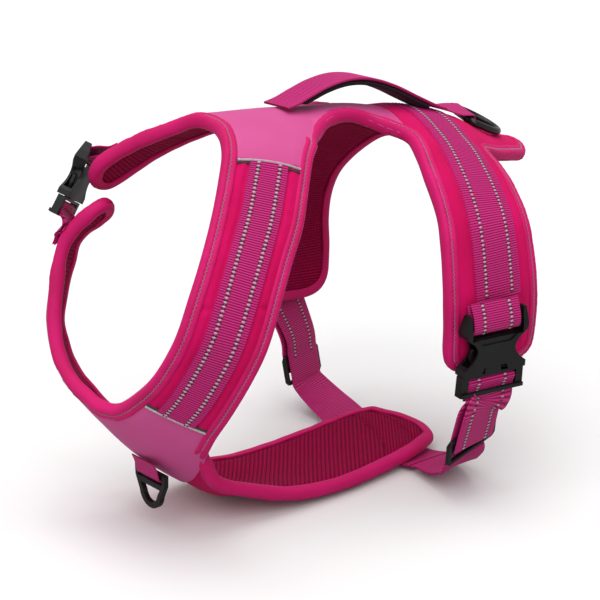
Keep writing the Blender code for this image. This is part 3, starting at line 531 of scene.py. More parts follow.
def lining_fabric(name, pitch, hole):
    """Air mesh: soft raised ribs, painted lighter on their crests and darker between, over small holes painted
    dark as shade.
    """
    shade = Shade(name, 0.9, sheen=0.05, specular=0.1)
    uv, x, y = shade.cloth()
    rib = shade.ripple(x, pitch)
    cells = shade.node("TexVoronoi", {"Vector": uv, "Scale": 1 / hole, "Randomness": 0.25}).outputs["Distance"]
    shaded_hole = shade.fade(cells, 0.42, 0.2)
    # Painted highlight on the rib crests, painted shade between them and painted shade in the holes.
    base = shade.mix(rib, (0.16, 0.0006, 0.022), (0.48, 0.0025, 0.08))
    shade.colour(shade.mix(shade.math("MULTIPLY", shaded_hole, 0.6), base, (0.09, 0.0005, 0.012)))
    relief = shade.math("SUBTRACT", shade.math("MULTIPLY", rib, 0.8), shade.math("MULTIPLY", shaded_hole, 0.7))
    shade.bump(relief, 0.9, 0.0006)
    return shade.material


def thread(name, colour, roughness):
    """Yarn with a fine twist."""
    shade = Shade(name, roughness)
    patch = place_noise(shade, 700.0)
    darker = tuple(0.72 * c for c in colour)
    shade.colour(shade.mix(patch, darker, colour))
    shade.bump(patch, 0.3, 0.0001)
    return shade.material


def piping_fabric():
    """Retroreflective tape: grey with a silvery sheen and tiny beads."""
    shade = Shade("reflective_piping", 0.32, metallic=0.35, specular=0.6)
    beads = place_noise(shade, 1800.0, 1.0)
    shade.colour(shade.mix(shade.fade(beads, 0.35, 0.65), (0.40, 0.37, 0.38), (0.72, 0.68, 0.70)))
    shade.bump(beads, 0.25, 0.00008)
    return shade.material


def plastic(name, roughness, grain):
    """Black acetal: fine moulded grain with slightly greyer rubbed places."""
    shade = Shade(name, roughness, specular=0.32)
    fine = place_noise(shade, grain, 2.0)
    wear = shade.fade(place_noise(shade, 55.0, 4.0), 0.45, 0.75)
    shade.colour(shade.mix(wear, (0.004, 0.004, 0.0043), (0.010, 0.010, 0.0106)))
    shade.roughness(shade.math("ADD", roughness - 0.06, shade.math("MULTIPLY", wear, 0.16)))
    shade.bump(fine, 0.16, 0.00012)
    return shade.material


def coated_wire():
    """Welded wire under a satin black coat."""
    shade = Shade("coated_wire", 0.3, metallic=0.75, coat=0.25)
    wear = shade.fade(place_noise(shade, 80.0, 4.0), 0.5, 0.8)
    shade.colour(shade.mix(wear, (0.014, 0.014, 0.015), (0.05, 0.05, 0.052)))
    shade.bump(place_noise(shade, 420.0, 2.0), 0.08, 0.0001)
    return shade.material


def neoprene():
    """Black padding under the handle, with a fine knitted face whose raised loops carry a painted highlight."""
    shade = Shade("handle_neoprene", 0.85, sheen=0.15, specular=0.2)
    _, x, y = shade.cloth()
    knit = shade.math("MULTIPLY", shade.ripple(x, 0.8), shade.ripple(y, 0.8))
    # The knit's raised loops are painted lighter, a painted highlight, and its hollows darker as painted shade.
    shade.colour(shade.mix(knit, (0.006, 0.006, 0.006), (0.02, 0.02, 0.021)))
    shade.bump(knit, 0.4, 0.0002)
    return shade.material


# Each cloth's third tone is a painted highlight for the crests of its weave.
SHELL = fabric("shell_weave", 0.85, 0.12, 0.12, 0.55, True, (26.0, 0.35, 0.7),
               ((0.60, 0.0015, 0.085), (0.74, 0.003, 0.13), (0.86, 0.012, 0.20)), 0.4, (0.35, 0.0002, 0.6))
BINDING = fabric("binding_tape", 0.62, 0.2, 0.2, 0.7, False, (30.0, 0.35, 0.7),
                 ((0.56, 0.0015, 0.085), (0.70, 0.004, 0.14), (0.80, 0.02, 0.27)), 0.4, (0.3, 0.00018, 0.0))
SATIN = fabric("smooth_satin", 0.55, 0.15, 0.3, 0.4, True, (18.0, 0.3, 0.75),
               ((0.66, 0.065, 0.27), (0.73, 0.10, 0.34), (0.80, 0.16, 0.44)), 0.3, (0.2, 0.0001, 0.0))
WEBBING = web_fabric()
RIBBED, HEX = lining_fabric("ribbed_air_mesh", 2.9, 1.3), lining_fabric("hexagon_air_mesh", 2.2, 2.0)
PALE, DARK = thread("reflective_yarn", (0.62, 0.55, 0.60), 0.4), thread("black_yarn", (0.05, 0.012, 0.03), 0.7)
# The dark tape laid beside each piping is painted shadow for the gap under the piping.
STITCH, SHADOW_GAP_CORD = thread("stitching_thread", (0.50, 0.26, 0.36), 0.55), thread("piping_shadow_tape", (0.07, 0.03, 0.04), 0.6)
PIPING, PLASTIC = piping_fabric(), plastic("black_acetal", 0.42, 900.0)
WIRE, NEOPRENE = coated_wire(), neoprene()


# ---- padded panels ----
def wobble(points, size, seed):
    """Smooth pseudo-random value of about -1 to 1 at each point, with waves of a given size in mm."""
    rng = np.random.default_rng(seed)
    total = np.zeros(len(points))
    for _ in range(7):
        direction = unit(rng.normal(size=3))
        pitch = size * rng.uniform(0.7, 1.6)
        total += np.sin(points @ direction * (2 * np.pi / pitch) + rng.uniform(0, 2 * np.pi))
    return total / 3.0


class Sheet:
    """Merged grids of middle-surface points with normals and cloth coordinates."""

    def __init__(self):
        self.p, self.n, self.uv, self.faces, self.count = [], [], [], [], 0

    def add(self, surface, u, v, uv=None):
        """Grid over u (rows) and v (columns), both as 2D arrays of one shape."""
        u, v = np.broadcast_arrays(u, v)
        points = surface.point(u, v)
        self.p.append(points.reshape(-1, 3))
        self.n.append(normal(surface, u, v).reshape(-1, 3))
        if uv is None:
            down = np.linalg.norm(np.diff(points, axis=0), axis=2).mean(axis=1)
            right = np.linalg.norm(np.diff(points, axis=1), axis=2)
            x = np.append(0, np.cumsum(down))[:, None] + 0 * u
            y = np.concatenate([np.zeros((len(points), 1)), np.cumsum(right, axis=1)], axis=1)
            uv = np.stack([x, y - y[:, -1:] / 2], -1)
        self.uv.append(uv.reshape(-1, 2))
        self.faces.append(grid_faces(*u.shape, first=self.count))
        self.count += u.size
        return self

    def merged(self):
        """One mesh with shared points where grids meet."""
        p, n, uv = np.vstack(self.p), np.vstack(self.n), np.vstack(self.uv)
        _, first, inverse = np.unique(np.round(p, 2), axis=0, return_index=True, return_inverse=True)
        inverse = inverse.ravel()
        total = np.zeros((len(first), 3))
        np.add.at(total, inverse, n)
        faces = inverse[np.vstack(self.faces)]
        faces = [list(dict.fromkeys(face)) for face in faces.tolist()]
        return p[first], unit(total), uv[first], [face for face in faces if len(face) > 2]

    def slab(self, name, low, high, material):
        """Closed body between two height fields, given as functions of (points, normals)."""
        p, n, uv, faces = self.merged()
        count = len(p)
        bottom, top = p + n * low(p)[:, None], p + n * high(p)[:, None]
        border = {}
        for face in faces:
            for a, b in zip(face, face[1:] + face[:1]):
                if (b, a) in border:
                    del border[(b, a)]
                else:
                    border[(a, b)] = True
        walls = [[b + count, a + count, a, b] for a, b in border]
        shell = [[i + count for i in face] for face in faces] + [face[::-1] for face in faces] + walls
        piece = make_object(name, np.vstack([bottom, top]), shell, material, np.vstack([uv, uv]), smooth_angle=60)
        outward(piece)
        return piece


def band_rows(u0, u1, step, tips=()):
    """Rows along a band at about a step in stations; tips names its rounded ends."""
    u = np.linspace(u0, u1, max(int(abs(u1 - u0) / step), 2) + 1)
    share = np.ones_like(u)
    for tip, power in tips:
        start, end = TIP_START[tip]
        phi = np.linspace(0, 0.47 * np.pi, 10)
        extra = start + (end - start) * np.sin(phi) ** (2 / power)
        narrow = np.cos(phi) ** (2 / power)
        if end > start:
            keep = u < start
            u, share = np.concatenate([u[keep], extra]), np.concatenate([share[keep], narrow])
        else:
            keep = u > start
            u, share = np.concatenate([extra[::-1], u[keep]]), np.concatenate([narrow[::-1], share[keep]])
    return u, share


def band_grid(sheet, surface, u0, u1, columns, step=0.12, tips=()):
    """Adds a band's full width between two stations, narrowed towards rounded tips."""
    u, share = band_rows(u0, u1, step, tips)
    v = np.linspace(INSET, 1 - INSET, columns)
    return sheet.add(surface, u[:, None], 0.5 + (v[None, :] - 0.5) * share[:, None])


def seams(lines):
    """Tree of points along sewn lines, each line an (n, 3) array."""
    points = np.vstack(lines)
    tree = KDTree(len(points))
    for i, point in enumerate(points):
        tree.insert(point, i)
    tree.balance()
    return lambda spots: np.array([tree.find(spot)[2] for spot in spots])


def padded_height(base, crown, seed, seam=None, soft=0.16):
    """Height of a foam panel's face: full inside, drawn down at the outline and along sewn lines."""
    def height(points):
        edge = edge_distance(points)
        sign = 1 if base > 0 else -1
        rise = np.clip((edge - TAPE + 1) / 7.0, 0, 1)
        face = abs(base) + crown * np.sin(rise * np.pi / 2)
        face *= 1 - 0.75 * np.clip(1 - edge / 3.0, 0, 1) ** 2
        near = np.clip(1 - (edge - TAPE) / 9.0, 0, 1) * (edge > TAPE)
        face += wobble(points, 34.0, seed) * soft * rise + wobble(points, 7.5, seed + 1) * 0.16 * near
        if seam is not None:
            away = seam(points)
            face -= 1.15 * np.exp(-(away / 1.5) ** 2)
            face += wobble(points, 5.5, seed + 2) * 0.14 * np.exp(-away / 4.0)
        return sign * face
    return height


def flat(height):
    return lambda points: np.full(len(points), float(height))


def finish_soft(piece, replaced):
    """Hides the replaced nodes of a soft piece sewn to the harness and puts it on the harness body."""
    if replaced:
        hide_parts(*replaced)
    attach(piece, "harness")


def finish_panel(sheet, name, cover, outer_height, nodes, lining, inner_height, mesh=None, satin=False):
    """Outer body and lining of a padded panel; name heads the lining's name, and cover is the outer body's."""
    outer = sheet.slab(cover, flat(OUTER_BACK), outer_height, SATIN if satin else SHELL)
    inner = sheet.slab(name + "_mesh", inner_height, flat(LINING_BACK), mesh or RIBBED)
    finish_soft(outer, nodes)
    finish_soft(inner, [lining])


def line_on(surface, us, v):
    u, v = np.broadcast_arrays(np.asarray(us, float), np.asarray(v, float))
    return surface.point(u, v)


def width_share(surface, u, width):
    """A width in mm as a share of a band's width at u."""
    return width / np.linalg.norm(surface.point(u, np.ones_like(u)) - surface.point(u, np.zeros_like(u)), axis=-1)


def make_shoulder():
    us = run(YOKE_PIPING, CHEST_PIPING, 260)
    half = width_share(NECK, us, NARROW_WEB / 2 + 0.4)
    tucks = [line_on(NECK, 12.05, run(0.12, 0.29, 12)), line_on(NECK, 11.5, run(0.71, 0.86, 12))]
    seam = seams([line_on(NECK, us, 0.5 - half), line_on(NECK, us, 0.5 + half)] + tucks)
    sheet = band_grid(Sheet(), NECK, YOKE_PIPING - 0.03, CHEST_PIPING + 0.03, 44, step=0.075)
    finish_panel(sheet, "left_shoulder", "left_shoulder_padding", padded_height(OUTER, 1.2, 11, seam),
                 ["left_shoulder_pad"], "left_shoulder_lining", padded_height(INNER, 1.2, 12))


def make_arms():
    arms = (("upper_neck_arm", 0.0, RIGHT_YOKE_PIPING + 0.05, [("upper", ARM_POWER)], 0.09),
            ("lower_neck_arm", RIGHT_CHEST_PIPING - 0.05, LOWER_TIP, [("lower", ARM_POWER)], 0.09))
    for seed, (name, start, end, tips, step) in enumerate(arms):
        sheet = band_grid(Sheet(), NECK, start, end, 30, step=step, tips=tips)
        finish_panel(sheet, name, name + "_padding", padded_height(OUTER, 1.0, 20 + seed), [name + "_pad"],
                     name + "_lining", padded_height(INNER, 1.6, 24 + seed))


def make_yoke():
    """Satin cover over the yoke and the bridge in one piece, and the linings under it."""
    rows, columns = 40, 30
    t = run(0, 1, columns)
    sheet = Sheet()
    middle_v = run(INSET, 1, rows)
    for surface, u, v in ((NECK, (LEFT_CORNER - 2 * t)[None, :], middle_v[:, None]),
                          (BRIDGE, run(0, 1, 34)[:, None], t[None, :])):
        u, v = np.broadcast_arrays(u, v)
        points = surface.point(u, v)
        sheet.add(surface, u, v, uv=points[..., :2])
    for start, end, count in ((LEFT_CORNER, YOKE_PIPING, 18), (RIGHT_YOKE_PIPING, RIGHT_CORNER, 16)):
        u, v = np.broadcast_arrays(run(start, end, count)[:, None], middle_v[None, :])
        points = NECK.point(u, v)
        sheet.add(NECK, u, v, uv=points[..., :2])
    finish_panel(sheet, "yoke", "yoke_cover_satin", padded_height(OUTER + 0.3, 0.5, 31, soft=0.10),
                 ["yoke_cover", "yoke_pad", "bridge_cover", "bridge_pad"], "yoke_lining",
                 padded_height(INNER, 1.2, 32), satin=True)


def make_chest():
    sheet = Sheet()
    v = np.append(run(INSET, 0.96, 40), 1.0)
    sheet.add(NECK, run(CHEST_PIPING, RIGHT_CHEST_PIPING, 70)[:, None], v[None, :])
    finish_panel(sheet, "chest", "chest_cover_satin", padded_height(OUTER + 0.3, 0.5, 41, soft=0.12),
                 ["chest_cover", "chest_pad"], "chest_lining", padded_height(INNER, 1.2, 42), satin=True)


def make_girth():
    """Saddle with both side panels and the tail flap, one continuous padded piece."""
    us = run(1.0, 15.0, 500)
    half = width_share(GIRTH, us, GIRTH_WEB / 2 + 0.5)
    seam = seams([line_on(GIRTH, us, GIRTH_WEB_LINE - half), line_on(GIRTH, us, GIRTH_WEB_LINE + half)])
    v = run(INSET, 0.965, 46)
    sheet = Sheet()
    for start, end, tip in ((0.0, GIRTH_RIGHT_CORNER, "right"), (GIRTH_LEFT_CORNER, GIRTH_END, "left")):
        u, share = band_rows(start, end, 0.085, [(tip, GIRTH_POWER)])
        wide = 0.5 + (v[None, :] - 0.5) * share[:, None]
        reach = np.clip(1 - np.abs(u - (end if tip == "right" else start)) / 0.25, 0, 1)[:, None]
        wide = wide + (np.clip((wide - 0.5) / 0.465, -1, 1) * 0.5 + 0.5 - wide) * reach
        sheet.add(GIRTH, u[:, None], wide)
    t = run(0, 1, 34)
    v_end = np.clip((v - 0.5) / 0.465, -1, 1) * 0.5 + 0.5
    u, w = np.broadcast_arrays((GIRTH_LEFT_CORNER - 2 * t)[None, :], v_end[:, None])
    sheet.add(GIRTH, u, w)
    u, w = np.broadcast_arrays(run(0, 0.975, 26)[:, None], t[None, :])
    sheet.add(TAIL, u, w)
    finish_panel(sheet, "girth", "girth_padding", padded_height(OUTER, 1.3, 51, seam), ["girth_pad", "tail_pad"],
                 "girth_lining", padded_height(INNER, 1.5, 52), mesh=HEX)


def make_belly():
    """Belly pad: the mesh on its inner face is ribbed ahead of the first cross seam and hexagonal behind it."""
    t = run(0.03, 0.97, 34)[None, :]
    first, second, rear = 0.85 - 0.13 * t, 0.935 - 0.07 * t, 0.975 + 0 * t

    def stretch_of(start, end, rows):
        u, v = np.broadcast_arrays(start + (end - start) * run(0, 1, rows)[:, None], t)
        x, y = np.moveaxis(BELLY.point(u, v)[..., :2], -1, 0)
        return Sheet().add(BELLY, u, v, uv=np.stack([0.766 * x - 0.643 * y, 0.643 * x + 0.766 * y], -1))
    sheet = stretch_of(0 * t, rear, 110)
    outer = sheet.slab("belly_padding", flat(1.0), padded_height(OUTER - 0.4, 0.0, 61), SHELL)
    finish_soft(outer, ["belly_pad"])
    height = padded_height(INNER, 1.8, 62, seams([line_on(BELLY, u[0], t[0]) for u in (first, second)]))
    ribbed = stretch_of(0 * t, first, 90).slab("belly_mesh", height, flat(1.2), RIBBED)
    finish_soft(ribbed, ["belly_lining"])
    hexagons = stretch_of(first, rear, 40).slab("belly_rear_mesh", height, flat(1.2), HEX)
    finish_soft(hexagons, [])


# ---- binding and stitches ----
# (distance in from the outline, height) round the binding's cross-section, outer face first.
BINDING_SECTION = [(TAPE, 3.2), (TAPE, 4.35), (TAPE - 0.5, 4.75), (7.2, 4.85), (6.3, 4.7), (5.5, 4.2), (4.9, 4.05),
                   (4.3, 4.25), (3.4, 4.75), (2.0, 4.6), (0.9, 3.7), (0.15, 2.2), (-0.1, 0.3), (0.1, -1.6),
                   (0.8, -3.1), (2.0, -4.0), (4.0, -4.35), (6.0, -4.4), (7.0, -4.1), (7.1, -3.0), (4.0, 0.0)]
STITCH_LINE, STITCH_HEIGHT, STITCH_PITCH = 4.9, 4.25, 1.3
EDGES = ("neck", "belly", "left_leg", "rear", "right_leg")


def make_bindings():
    section = np.array(BINDING_SECTION)
    around = np.append(0, np.cumsum(np.linalg.norm(np.diff(section, axis=0, append=section[:1]), axis=1)))
    for seed, name in enumerate(EDGES):
        index = TRAIL.stretch(name, extra=3)
        p, n, inward = TRAIL.p[index], TRAIL.n[index], TRAIL.inward[index]
        swell = 1 + 0.05 * wobble(p, 16.0, 70 + seed)
        pucker = 0.12 * wobble(p, 3.2, 80 + seed)
        x = section[None, :, 0] * np.ones((len(p), 1))
        h = section[None, :, 1] * swell[:, None] + pucker[:, None] * (section[None, :, 1] > 3)
        rings = p[:, None] + inward[:, None] * x[..., None] + n[:, None] * h[..., None]
        cloth = np.stack(np.broadcast_arrays(TRAIL.s[index][0] + np.arange(len(p))[:, None] * Trail.SPACING,
                                             around[None, :]), -1)
        piece = sleeve(name + "_binding", rings, BINDING, cloth)
        finish_soft(piece, [name + "_edging"])


def beads(name, centres, along, across, out, sizes, material, slot, blend=None):
    """Many small rounded threads: an ellipsoid with the given half sizes at each centre."""
    ring, side = 5, 6
    phi, theta = np.linspace(0, np.pi, ring), np.linspace(0, 2 * np.pi, side, endpoint=False)
    template = [(1, 0, 0)] + [(math.cos(f), math.sin(f) * math.cos(a), math.sin(f) * math.sin(a))
                              for f in phi[1:-1] for a in theta] + [(-1, 0, 0)]
    template = np.array(template)
    faces = [[0, 1 + (j + 1) % side, 1 + j] for j in range(side)]
    for i in range(ring - 3):
        first = 1 + i * side
        faces += [[first + j, first + (j + 1) % side, first + side + (j + 1) % side, first + side + j]
                  for j in range(side)]
    last, first = len(template) - 1, 1 + (ring - 3) * side
    faces += [[last, first + j, first + (j + 1) % side] for j in range(side)]
    sizes = np.broadcast_to(sizes, (len(centres), 3))
    points = (centres[:, None] + along[:, None] * (template[None, :, 0] * sizes[:, :1])[..., None]
              + across[:, None] * (template[None, :, 1] * sizes[:, 1:2])[..., None]
              + out[:, None] * (template[None, :, 2] * sizes[:, 2:])[..., None])
    every = [[i + k * len(template) for i in face] for k in range(len(centres)) for face in faces]
    piece = make_object(name, points.reshape(-1, 3), every, material)
    outward(piece)
    if blend:
        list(blend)
        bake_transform(piece)
    else:
        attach(piece, "harness")


def make_stitches():
    """Zigzag of pale thread along the middle of the binding, all round."""
    for name in EDGES:
        index = TRAIL.stretch(name)
        length = len(index) * Trail.SPACING
        s = np.arange(3.0, length - 2.0, STITCH_PITCH)
        places = np.arange(len(index)) * Trail.SPACING
        at = lambda rows: np.stack([np.interp(s, places, rows[index, c]) for c in range(3)], -1)
        p, n, inward = at(TRAIL.p), unit(at(TRAIL.n)), unit(at(TRAIL.inward))
        forward = unit(np.cross(inward, n))
        turn = np.where(np.arange(len(s)) % 2, 1.0, -1.0)[:, None]
        along = unit(forward + inward * turn)
        centres = p + inward * STITCH_LINE + n * STITCH_HEIGHT
        beads(name + "_stitches", centres, along, unit(np.cross(n, along)), n, STITCH_SIZE, STITCH,
              "edge_binding")


# ---- webbing ----
class PanelTrack:
    """Centre line of webbing sewn on a band."""

    def __init__(self, surface, start, end, centre):
        self.surface, self.centre = surface, centre
        self.u = np.linspace(start, end, 500)
        spots = surface.point(self.u, np.full(500, centre))
        self.s = np.append(0, np.cumsum(np.linalg.norm(np.diff(spots, axis=0), axis=1)))
        self.length = self.s[-1]
        self.width = 1 / width_share(surface, self.u, 1.0)

    def at(self, s, off, height):
        s, off, height = np.broadcast_arrays(s, off, height)
        u = np.interp(s, self.s, self.u)
        v = self.centre + off / np.interp(s, self.s, self.width)
        return self.surface.point(u, v) + normal(self.surface, u, v) * height[..., None]


class FreeTrack:
    """Path of free webbing through points, with its width direction at each of them."""

    def __init__(self, points, sides):
        points, sides = np.asarray(points, float), np.asarray(sides, float)
        t = np.linspace(0, len(points) - 1, 40 * len(points))
        spots, side = spline(points, t), spline(sides, t)
        self.s = np.append(0, np.cumsum(np.linalg.norm(np.diff(spots, axis=0), axis=1)))
        self.length = self.s[-1]
        ahead = unit(np.gradient(spots, axis=0))
        side = unit(side - ahead * np.sum(side * ahead, axis=1, keepdims=True))
        self.rows = np.hstack([spots, side, np.cross(ahead, side)])

    def at(self, s, off, height):
        s, off, height = np.broadcast_arrays(s, off, height)
        p, side, out = np.split(np.stack([np.interp(s, self.s, self.rows[:, c]) for c in range(9)], -1), 3, -1)
        return p + side * off[..., None] + out * height[..., None]


def web(name, track, width, top, bottom, replaced, depth=0.28, blend=None):
    """Ribbed webbing between two heights over a track, as one closed strip."""
    s = np.arange(0.0, track.length + 1e-6, RIB / 4)
    columns = np.linspace(-1, 1, 9 if width < 30 else 13)
    half, rim = width / 2, min(0.5, (top - bottom) / 2)
    face = (half - rim) * columns
    middle = (top + bottom) / 2
    section = [(x, top, 1) for x in face] + [(half, middle, 0)] + [(x, bottom, -1) for x in face[::-1]]
    section = np.array(section + [(-half, middle, 0)])
    rib = np.abs(np.sin(np.pi * s / RIB)) ** 0.7
    edge = 0.18 * np.sin(2 * np.pi * s / RIB)
    off = section[None, :, 0] + np.sign(section[None, :, 0]) * (section[None, :, 2] == 0) * edge[:, None]
    height = section[None, :, 1] + section[None, :, 2] * depth * (rib[:, None] - 1)
    rings = track.at(s[:, None] + 0 * off, off, height)
    across = np.append(section[:, 0], section[0, 0])
    cloth = np.stack(np.broadcast_arrays(s[:, None], across[None, :]), -1)
    piece = sleeve(name, rings, WEBBING, cloth)
    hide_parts(*replaced)
    if blend:
        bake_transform(piece)
    else:
        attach(piece, "harness")


def dashes(name, track, row, height, start=0.0, end=None, face=1, blend=None):
    """Two rows of reflective dashes at a distance from the middle, with short dark yarns between the dashes."""
    end = track.length if end is None else end
    s = np.arange(start + 1.5, end - 1.2, DASH)
    for material, kind in ((PALE, "reflective"), (DARK, "dark")):
        spots = []
        for off, inner in ((-row, 1), (row, -1)):
            if kind == "reflective":
                spots.append((s, off + 0 * s, DASH_SIZE))
            else:
                spots += [(s + DASH / 2, off + side * inner * 0.9 + 0 * s, YARN_SIZE) for side in (1, -1)]
        place = np.concatenate([spot[0] for spot in spots])
        off = np.concatenate([spot[1] for spot in spots])
        sizes = np.concatenate([np.tile(spot[2], (len(spot[0]), 1)) for spot in spots])
        inside = place < end - 0.6
        place, off, sizes = place[inside], off[inside], sizes[inside]
        centre = track.at(place, off, height)
        along = unit(track.at(place + 0.4, off, height) - track.at(place - 0.4, off, height))
        across = unit(track.at(place, off + 0.5, height) - track.at(place, off - 0.5, height))
        out = unit(np.cross(along, across)) * face
        beads(f"{name}_{kind}_yarn", centre, along, across, out, sizes, material, "webbing", blend)


def make_panel_webbing():
    shoulder = PanelTrack(NECK, YOKE_PIPING, CHEST_PIPING + 0.02, 0.5)
    web("left_shoulder_webbing_strip", shoulder, NARROW_WEB, 5.3, 3.0, ["left_shoulder_webbing"])
    dashes("left_shoulder", shoulder, 6.9, 5.25)
    girth = PanelTrack(GIRTH, 3.2, 13.3, GIRTH_WEB_LINE)
    web("girth_webbing_strip", girth, GIRTH_WEB, 5.6, 3.0, ["girth_webbing"])
    dashes("girth", girth, DASH_ROW, 5.55)
    for name, start, end in (("upper_arm", 1.3, RIGHT_YOKE_PIPING), ("lower_arm", RIGHT_CHEST_PIPING, 24.3)):
        track = PanelTrack(NECK, start, end, 0.5)
        web(name + "_webbing_strip", track, NARROW_WEB - 3, 5.2, 3.0, [name + "_webbing"])
        dashes(name, track, ARM_DASH_ROW, 5.15)


# ---- buckles' own frames ----
class Place:
    """A buckle's own frame: x across, y up, z out, in mm and with its own scale."""

    def __init__(self, centre, up, out, scale=(1, 1, 1)):
        self.centre = listed(centre)
        self.z = unit(np.array(out, float))
        self.y = unit(np.array(up, float) - self.z * (np.array(up) @ self.z))
        self.x = np.cross(self.y, self.z)
        self.scale = np.array(scale, float)

    def point(self, x, y, z):
        x, y, z = np.broadcast_arrays(x, y, z)
        return (self.centre + x[..., None] * self.x * self.scale[0] + y[..., None] * self.y * self.scale[1]
                + z[..., None] * self.z * self.scale[2])

    def line(self, pairs):
        """Points for (out, up) pairs in the middle plane."""
        pairs = np.array(pairs, float)
        return self.point(0 * pairs[:, 0], pairs[:, 1], pairs[:, 0])


def arc(centre, radius, start, end, count):
    angles = np.radians(np.linspace(start, end, count + 1))
    return np.stack([centre[0] + radius * np.cos(angles), centre[1] + radius * np.sin(angles)], -1).tolist()


LEFT, RIGHT, NECK_PLACE = Place(*LEFT_BUCKLE), Place(*RIGHT_BUCKLE), Place(*NECK_BUCKLE, NECK_SCALE)


def make_loops():
    girth_path = [(-5.6, 31.5), (-3.8, 25), (-3.3, 20.5)], [(3.0, 21.5), (0.8, 27.5), (-2.6, 34)]
    neck_path = [(-20.2, 33.3), (-15, 26), (-9.8, 21.5)], [(2.6, 21.5), (-6, 27.5), (-14.5, 31), (-19.2, 35.7)]
    loops = (("left_buckle_loop", LEFT, GIRTH_WEB, 1.6, girth_path),
             ("right_buckle_loop", RIGHT, GIRTH_WEB, 1.6, girth_path),
             ("neck_buckle_loop", NECK_PLACE, NARROW_WEB, 1.2, neck_path))
    for name, place, width, thick, (under, over) in loops:
        points = place.line(under + arc((0, 17.2), 3.3, 180, 360, 6) + over)
        track = FreeTrack(points, [place.x] * len(points))
        web(name + "_webbing", track, width, thick / 2, -thick / 2, [name], depth=0.2)
        row = DASH_ROW if width == GIRTH_WEB else ARM_DASH_ROW
        dashes(name, track, row, -thick / 2, start=track.length * 0.42, face=-1)


BAR_TURN = [(1.1, -25.2)] + arc((0, -20.4), 2.7, 0, 180, 6) + [(-2.5, -25.2)]


def make_girth_straps():
    straps = (("left", LEFT, LEFT_SLIDER, LEFT_STRAP_FOOT, -16),
              ("right", RIGHT, RIGHT_SLIDER, RIGHT_STRAP_FOOT, -12.5))
    for name, place, slider, foot, below in straps:
        glide = Place(*slider)
        front = glide.line([(LAYER, up) for up in (-2.5, 4, 11, 26)])
        back = glide.line([(-LAYER, up) for up in (26, 11, 0, -8, below)])
        turn = place.line([(0.9, -35), (1.0, -29.5), *BAR_TURN, (-2.3, -29.5), (-2.3, -35)])
        level = np.array((math.copysign(1, glide.x[0]), 0, 0))
        low = [glide.x * (1 - share) + level * share for share in (0.35, 0.7, 1, 1, 1)]
        sides = [glide.x] * 4 + [place.x] * len(turn) + [glide.x] * 5 + low
        track = FreeTrack(np.vstack([front, turn, back, listed(foot)]), sides)
        blend = ("harness", name + "_girth_buckle_male", tuple(glide.point(0, 13, 0) * MM),
                 tuple(place.point(0, BAR_CLEAR, 0) * MM))
        web(name + "_girth_strap_webbing", track, GIRTH_WEB, 0.8, -0.8, [name + "_girth_strap"], 0.2, blend)
        dashes(name + "_girth_strap", track, DASH_ROW, -0.8, end=track.length * 0.7, face=-1, blend=blend)
    track = FreeTrack(listed(BELLY_STRAP), [(1, 0, 0)] * len(BELLY_STRAP))
    web("belly_strap_webbing", track, GIRTH_WEB, 0.8, -0.8, ["belly_strap"], depth=0.2)


def make_neck_strap():
    def over_arm(spots):
        u, v, height = np.array(spots).T
        return NECK.point(u, v) + normal(NECK, u, v) * height[:, None]
    front = over_arm([(25.7, 0.5, 6.3), (25.9, 0.44, 6.8), (26.1, 0.35, 8.2)])
    back = over_arm([(26.1, 0.35, 6.0), (25.9, 0.44, 5.2), (25.7, 0.5, 4.9)])
    turn = NECK_PLACE.line(BAR_TURN)
    side = -unit(NECK.point(25.5, 1.0) - NECK.point(25.5, 0.0))
    track = FreeTrack(np.vstack([front, turn, back]), [side] * 3 + [NECK_PLACE.x] * len(turn) + [side] * 3)
    blend = ("harness", "neck_buckle_male", tuple(front[1] * MM), tuple(NECK_PLACE.point(0, BAR_CLEAR, 0) * MM))
    web("neck_strap_webbing", track, NARROW_WEB, 0.6, -0.6, ["neck_strap"], depth=0.18, blend=blend)
    dashes("neck_strap", track, ARM_DASH_ROW, -0.6, end=track.length * 0.45, face=-1, blend=blend)


# ---- handle and rings ----
def tube(name, path, radius, material, closed=False, sides=14):
    """Round wire along a smooth path of points."""
    path = np.asarray(path, float)
    ahead = np.roll(path, -1, axis=0) - np.roll(path, 1, axis=0) if closed else np.gradient(path, axis=0)
    ahead = unit(ahead)
    reference = np.cross(ahead, unit(np.cross(ahead[0], ahead[len(ahead) // 3]))[None, :] + 0 * ahead)
    b = unit(reference)
    c = np.cross(ahead, b)
    angle = np.linspace(0, 2 * np.pi, sides, endpoint=False)
    cos, sin = (wave(angle)[None, :, None] for wave in (np.cos, np.sin))
    rings = path[:, None] + radius * (b[:, None] * cos + c[:, None] * sin)
    if not closed:
        return sleeve(name, rings, material)
    rows = len(path)
    i, j = np.meshgrid(np.arange(rows), np.arange(sides), indexing="ij")
    k, m = (i + 1) % rows, (j + 1) % sides
    faces = np.stack([i * sides + j, i * sides + m, k * sides + m, k * sides + j], -1).reshape(-1, 4)
    piece = make_object(name, rings.reshape(-1, 3), faces, material)
    outward(piece)
    return piece


def make_handle():
    points = listed(HANDLE_PATH)
    track = FreeTrack(points, [(0, 1, 0)] * len(points))
    web("handle_webbing", track, NARROW_WEB, 0.9, -0.9, ["handle_strap"], depth=0.25)
    under = FreeTrack(spline(points, np.linspace(1.5, 7.7, 20)) - np.array((0, 0, 3.0)), [(0, 1, 0)] * 20)
    s = np.linspace(0, under.length, 90)
    angle = np.linspace(0, 2 * np.pi, 28, endpoint=False)
    off = 11.6 * np.sign(np.cos(angle)) * np.abs(np.cos(angle)) ** 0.45
    rise = 1.9 * np.sign(np.sin(angle)) * np.abs(np.sin(angle)) ** 0.6
    end = np.minimum(s, under.length - s)
    taper = np.sqrt(np.clip(end / 3.0, 0.05, 1))
    rings = under.at(s[:, None], off[None, :] * taper[:, None] ** 0.3, rise[None, :] * taper[:, None] - 0.1)
    cloth = np.stack(np.broadcast_arrays(s[:, None], np.append(off, off[0])[None, :]), -1)
    piece = sleeve("handle_neoprene_grip", rings, NEOPRENE, cloth)
    finish_soft(piece, ["handle_grip"])


